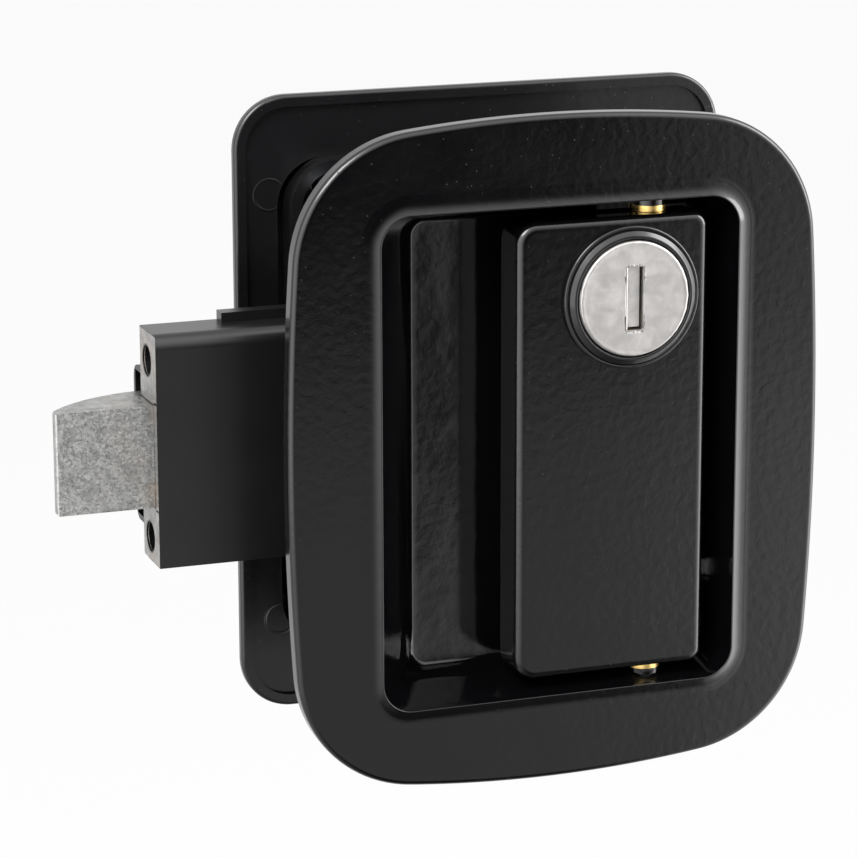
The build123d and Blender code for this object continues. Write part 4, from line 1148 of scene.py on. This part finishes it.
@dataclass
class NoseEnd:
    """Machined end face of the latch nose: two ears with screw holes and the wall between them."""

    end: float = -68.6
    front: float = 14.0
    back: float = 24.5
    inside: float = 15.8
    low: float = -19.1
    high: float = 22.7
    gap: Tuple[float, float] = (-8.55, 10.15)
    hole: float = 2.75
    margin: float = 0.12
    corner: float = 0.5
    overlap: float = 0.5
    countersink: Point2 = (0.3, 0.35)
    setback: float = 20.0
    middle: float = 1.3
    spacing: float = 32.0

    def ear(self, piece: Piece, low: float, high: float, centre: float) -> None:
        """Adds the flat round one hole.

        Rings grow from the hole to the ear's outline, with a small countersink at the hole.

        Args:
            piece: The piece that grows.
            low: Lower edge of the ear.
            high: Upper edge of the ear.
            centre: Height of the hole.
        """
        half_y = (self.back - self.front) / 2 - self.margin
        half_z = (high - low) / 2 - self.margin
        middle = ((self.back + self.front) / 2, (low + high) / 2)
        outline = Loop.rounded(half_y, half_z, self.corner, middle)
        hole = (self.setback, centre)

        def row(radius: float, out: float) -> np.ndarray:
            """Circle round the hole, some way out of the end face."""
            loop = Loop.about(hole, radius, outline)
            return np.stack([np.full(len(loop), self.end - out), loop[:, 0], loop[:, 1]], -1)

        wide, pore_shade = self.countersink
        rows = [row(self.hole - SKIN, -pore_shade), row(self.hole + wide, SKIN)]
        flat = np.stack([np.full(len(outline), self.end - SKIN), outline[:, 0], outline[:, 1]], -1)
        start = rows[-1]
        rows += [start + (flat - start) * share for share in (0.15, 0.5, 0.85, 1.0)]
        piece.grid(rows)

    def build(self, finish: bpy.types.Material) -> None:
        """Makes the piece.

        Args:
            finish: Its material.
        """
        piece = Piece("nose_end_face", Body.HOUSING, Slot.ZINC)
        half = self.spacing / 2
        self.ear(piece, self.low, self.gap[0], self.middle - half)
        self.ear(piece, self.gap[1], self.high, self.middle + half)
        levels = np.linspace(self.gap[0] - self.overlap, self.gap[1] + self.overlap, 12)
        rows = [
            np.stack([np.full(len(levels), self.end - SKIN), np.full(len(levels), depth), levels], -1)
            for depth in (self.front + self.margin, self.front + 0.6, self.inside - 0.1)
        ]
        piece.grid(rows, closed=False)
        piece.finish(finish)


@dataclass
class PhotoCamera:
    """Camera solved from the photograph, in millimetres and degrees."""

    focal: float = 3509.68
    size: float = 858.0
    sensor: float = 36.0
    yaw: float = 19.64
    pitch: float = 14.23
    roll: float = -0.14
    shift: Tuple[float, float, float] = (23.77, 4.41, 637.93)
    scale: float = 0.971
    clip: Point2 = (0.01, 20.0)

    def build(self) -> None:
        """Makes the camera. Three turns and a shift take the front plane's frame to the view."""
        yaw, pitch, roll = (radians(value) for value in (self.yaw, self.pitch, self.roll))
        turn = Matrix(((cos(yaw), -sin(yaw), 0), (sin(yaw), cos(yaw), 0), (0, 0, 1)))
        base = Matrix(((1, 0, 0), (0, 0, -1), (0, 1, 0)))
        nod = Matrix(((1, 0, 0), (0, cos(pitch), -sin(pitch)), (0, sin(pitch), cos(pitch))))
        lean = Matrix(((cos(roll), -sin(roll), 0), (sin(roll), cos(roll), 0), (0, 0, 1)))
        back = (lean @ nod @ base @ turn).transposed()
        place = back @ Vector(self.shift) * -self.scale + Vector((0.0, FRONT, 0.0))
        data = bpy.data.cameras.new("photo_camera")
        data.sensor_width = self.sensor
        data.lens = self.focal * self.sensor / self.size
        data.clip_start, data.clip_end = self.clip
        camera = bpy.data.objects.new("photo_camera", data)
        columns = [back @ Vector(axis) for axis in ((1, 0, 0), (0, -1, 0), (0, 0, -1))]
        rotation = Matrix(columns).transposed().to_4x4()
        camera.matrix_world = Matrix.Translation(place * MM) @ rotation
        bpy.context.scene.collection.objects.link(camera)
        bpy.context.scene.camera = camera


@dataclass(frozen=True)
class Softbox:
    """One area lamp that looks at a point of the lock."""

    name: str
    place: Tuple[float, float, float]
    size: Tuple[float, float]
    power: float
    target: Tuple[float, float, float] = (0.0, 0.0, 0.0)

    def build(self) -> None:
        """Makes the lamp."""
        data = bpy.data.lights.new(self.name, "AREA")
        data.shape = "RECTANGLE"
        data.size, data.size_y = self.size
        data.energy = self.power
        lamp = bpy.data.objects.new(self.name, data)
        lamp.location = self.place
        aim = Vector(self.target) - Vector(self.place)
        lamp.rotation_euler = aim.to_track_quat("-Z", "Y").to_euler()
        bpy.context.scene.collection.objects.link(lamp)


@dataclass
class Studio:
    """White studio: world, floor and soft lamps."""

    floor: float = -0.22
    floor_half: float = 3.0
    floor_cloud: float = 180.0
    floor_glow: float = 0.9
    ambient: float = 0.5
    dark: float = 0.012
    below: float = 0.62
    below_start: Point2 = (-0.2, -0.25)
    below_end: Point2 = (-0.62, -0.45)
    below_rest: float = 0.1
    above: float = 2.5
    above_span: Point2 = (0.0, 0.9)
    left: float = 3.3
    left_span: Point2 = (0.15, -0.9)
    left_fade: Point2 = (-0.33, -0.2)
    left_rest: float = 0.35
    glow: float = 0.8
    glow_span: Point2 = (0.38, 0.43)
    right: float = 4.2
    right_span: Point2 = (0.43, 0.95)
    behind: float = 1.0
    behind_span: Point2 = (-0.35, 0.4)
    lamps: Tuple[Softbox, ...] = (
        Softbox("key_lamp", (-0.55, -0.45, 0.75), (0.5, 0.5), 9.0),
        Softbox("side_lamp", (0.75, -0.35, 0.30), (0.3, 0.8), 5.0),
    )

    def world(self) -> None:
        """Makes the world.

        Camera rays see white. Glossy rays see white behind the lock. In front of it they see dark
        at the height of the camera, a grey band below that ends further down, light above, a soft
        glow on the left that fades downwards and a bright one on the right. Other rays see the
        ambient light.
        """
        world = bpy.data.worlds.new("studio")
        world.use_nodes = True
        graph = Graph(world.node_tree, "ShaderNodeOutputWorld")
        way = graph.node("ShaderNodeTexCoord", {}, output="Generated")
        across, along, up = (graph.node("ShaderNodeSeparateXYZ", {0: way}, output=axis) for axis in "XYZ")
        band = up.ramp(*self.below_start, self.dark, self.below)
        lower = band * up.ramp(*self.below_end, self.below_rest, 1.0)
        front = lower + up.ramp(*self.above_span, 0.0, self.above)
        left = across.ramp(*self.left_span, 0.0, self.left) * up.ramp(*self.left_fade, self.left_rest, 1.0)
        near = across.ramp(*self.glow_span, 0.0, self.glow)
        sides = left + near + across.ramp(*self.right_span, 0.0, self.right)
        side = along.ramp(*self.behind_span)
        glossy = (front + sides) * (1.0 - side) + side * self.behind
        seen = graph.ray("Is Camera Ray").math("MAXIMUM", graph.ray("Is Transmission Ray"))
        shiny = graph.ray("Is Glossy Ray")
        light = shiny * glossy + (1.0 - shiny) * self.ambient
        strength = seen + (1.0 - seen) * light
        sky = graph.node("ShaderNodeBackground", {"Color": (1.0, 1.0, 1.0, 1.0), "Strength": strength})
        graph.end(sky)
        bpy.context.scene.world = world

    def ground(self) -> None:
        """Makes the pale floor, which looks white to the camera and keeps a soft shadow."""
        half = self.floor_half
        mesh = bpy.data.meshes.new("floor")
        corners = [(x * half, y * half, self.floor) for x, y in ((-1, -1), (1, -1), (1, 1), (-1, 1))]
        mesh.from_pydata(corners, [], [(0, 1, 2, 3)])
        shader = Shader("pale_floor")
        cloud = shader.noise(self.floor_cloud, 2.0)
        shader.set(Base_Color=cloud.between((0.90, 0.90, 0.90), (0.94, 0.94, 0.94)), Roughness=0.9)
        glow = shader.node("ShaderNodeEmission", {"Strength": 1.0})
        seen = shader.ray("Is Camera Ray") * self.floor_glow
        white = shader.node("ShaderNodeMixShader", {0: seen, 1: shader.bsdf, 2: glow})
        clear = shader.node("ShaderNodeBsdfTransparent", {})
        shader.end(shader.node("ShaderNodeMixShader", {0: shader.ray("Is Glossy Ray"), 1: white, 2: clear}))
        mesh.materials.append(shader.material)
        plane = bpy.data.objects.new("floor", mesh)
        bpy.context.scene.collection.objects.link(plane)

    def build(self) -> None:
        """Makes world, floor and lamps."""
        self.world()
        self.ground()
        for lamp in self.lamps:
            lamp.build()
        bpy.context.scene.view_settings.view_transform = "Standard"


@dataclass
class Lock:
    """The whole lock: finishes for the CAD nodes and the new pieces."""

    finishes: Dict[Slot, Finish] = field(
        default_factory=lambda: {
            Slot.COAT: PowderCoat(reliefs=(FloorSag(), BeadSwell())),
            Slot.CASE: PowderCoat(colour=(0.0045, 0.0045, 0.005), gloss=0.3, peel=2.8),
            Slot.TRIM: PowderCoat(colour=(0.006, 0.006, 0.006), gloss=0.14, peel_depth=0.02),
            Slot.ZINC: CastMetal(),
            Slot.NICKEL: PlatedMetal(
                (0.38, 0.368, 0.36), (0.49, 0.474, 0.462), rough=0.42, cloud=2.2, metallic=0.85
            ),
            Slot.STEEL: PlatedMetal((0.42, 0.43, 0.45), (0.62, 0.63, 0.65), rough=0.34),
            Slot.YELLOW: PlatedMetal((0.62, 0.40, 0.10), (0.80, 0.58, 0.24), rough=0.28),
            Slot.WIRE: PlatedMetal((0.30, 0.30, 0.31), (0.45, 0.45, 0.46), rough=0.3),
            Slot.BRASS: PlatedMetal((0.62, 0.46, 0.18), (0.78, 0.61, 0.30), rough=0.3),
            Slot.FOAM: FoamRubber(),
        }
    )

    plate: PowderCoat = PowderCoat(
        colour=(0.0045, 0.0045, 0.005), gloss=0.24, reliefs=(EjectorMarks(((-37.6, 40.0), (-36.6, -41.2))),)
    )
    # The case cover gets a dark metal finish all over, in place of the steel finish of its slot.
    cover: PlatedMetal = PlatedMetal((0.020, 0.020, 0.022), (0.045, 0.045, 0.048), rough=0.36)

    @staticmethod
    def paint(name: str, material: bpy.types.Material) -> None:
        """Gives one CAD node its material.

        Args:
            name: Name of the node.
            material: The material.
        """
        materials = frame["nodes"][name].data.materials
        materials.clear()
        materials.append(material)
        LOG.info("%s keeps its CAD shape in %s", name, material.name)

    def build(self) -> None:
        """Makes the materials and the pieces."""
        materials = {slot: finish.build(slot.value) for slot, finish in self.finishes.items()}
        for part in frame["record"]["subparts"]:
            self.paint(part["node"], materials[Slot(part["material_slot"])])
        self.paint("interior_housing", self.plate.build("plate_coat"))
        self.paint("case_cover", self.cover.build("dark_cover"))
        Bezel().build(materials[Slot.COAT])
        PaddleFace().build(materials[Slot.COAT])
        cylinder = KeyCylinder()
        cylinder.build_ring(materials[Slot.TRIM])
        cylinder.build_face(materials[Slot.NICKEL])
        NoseEnd().build(materials[Slot.ZINC])


def main() -> None:
    """Builds the scene."""
    logging.basicConfig(level=logging.INFO, format="%(message)s")
    Lock().build()
    Studio().build()
    PhotoCamera().build()


if __name__ == "__main__":
    main()
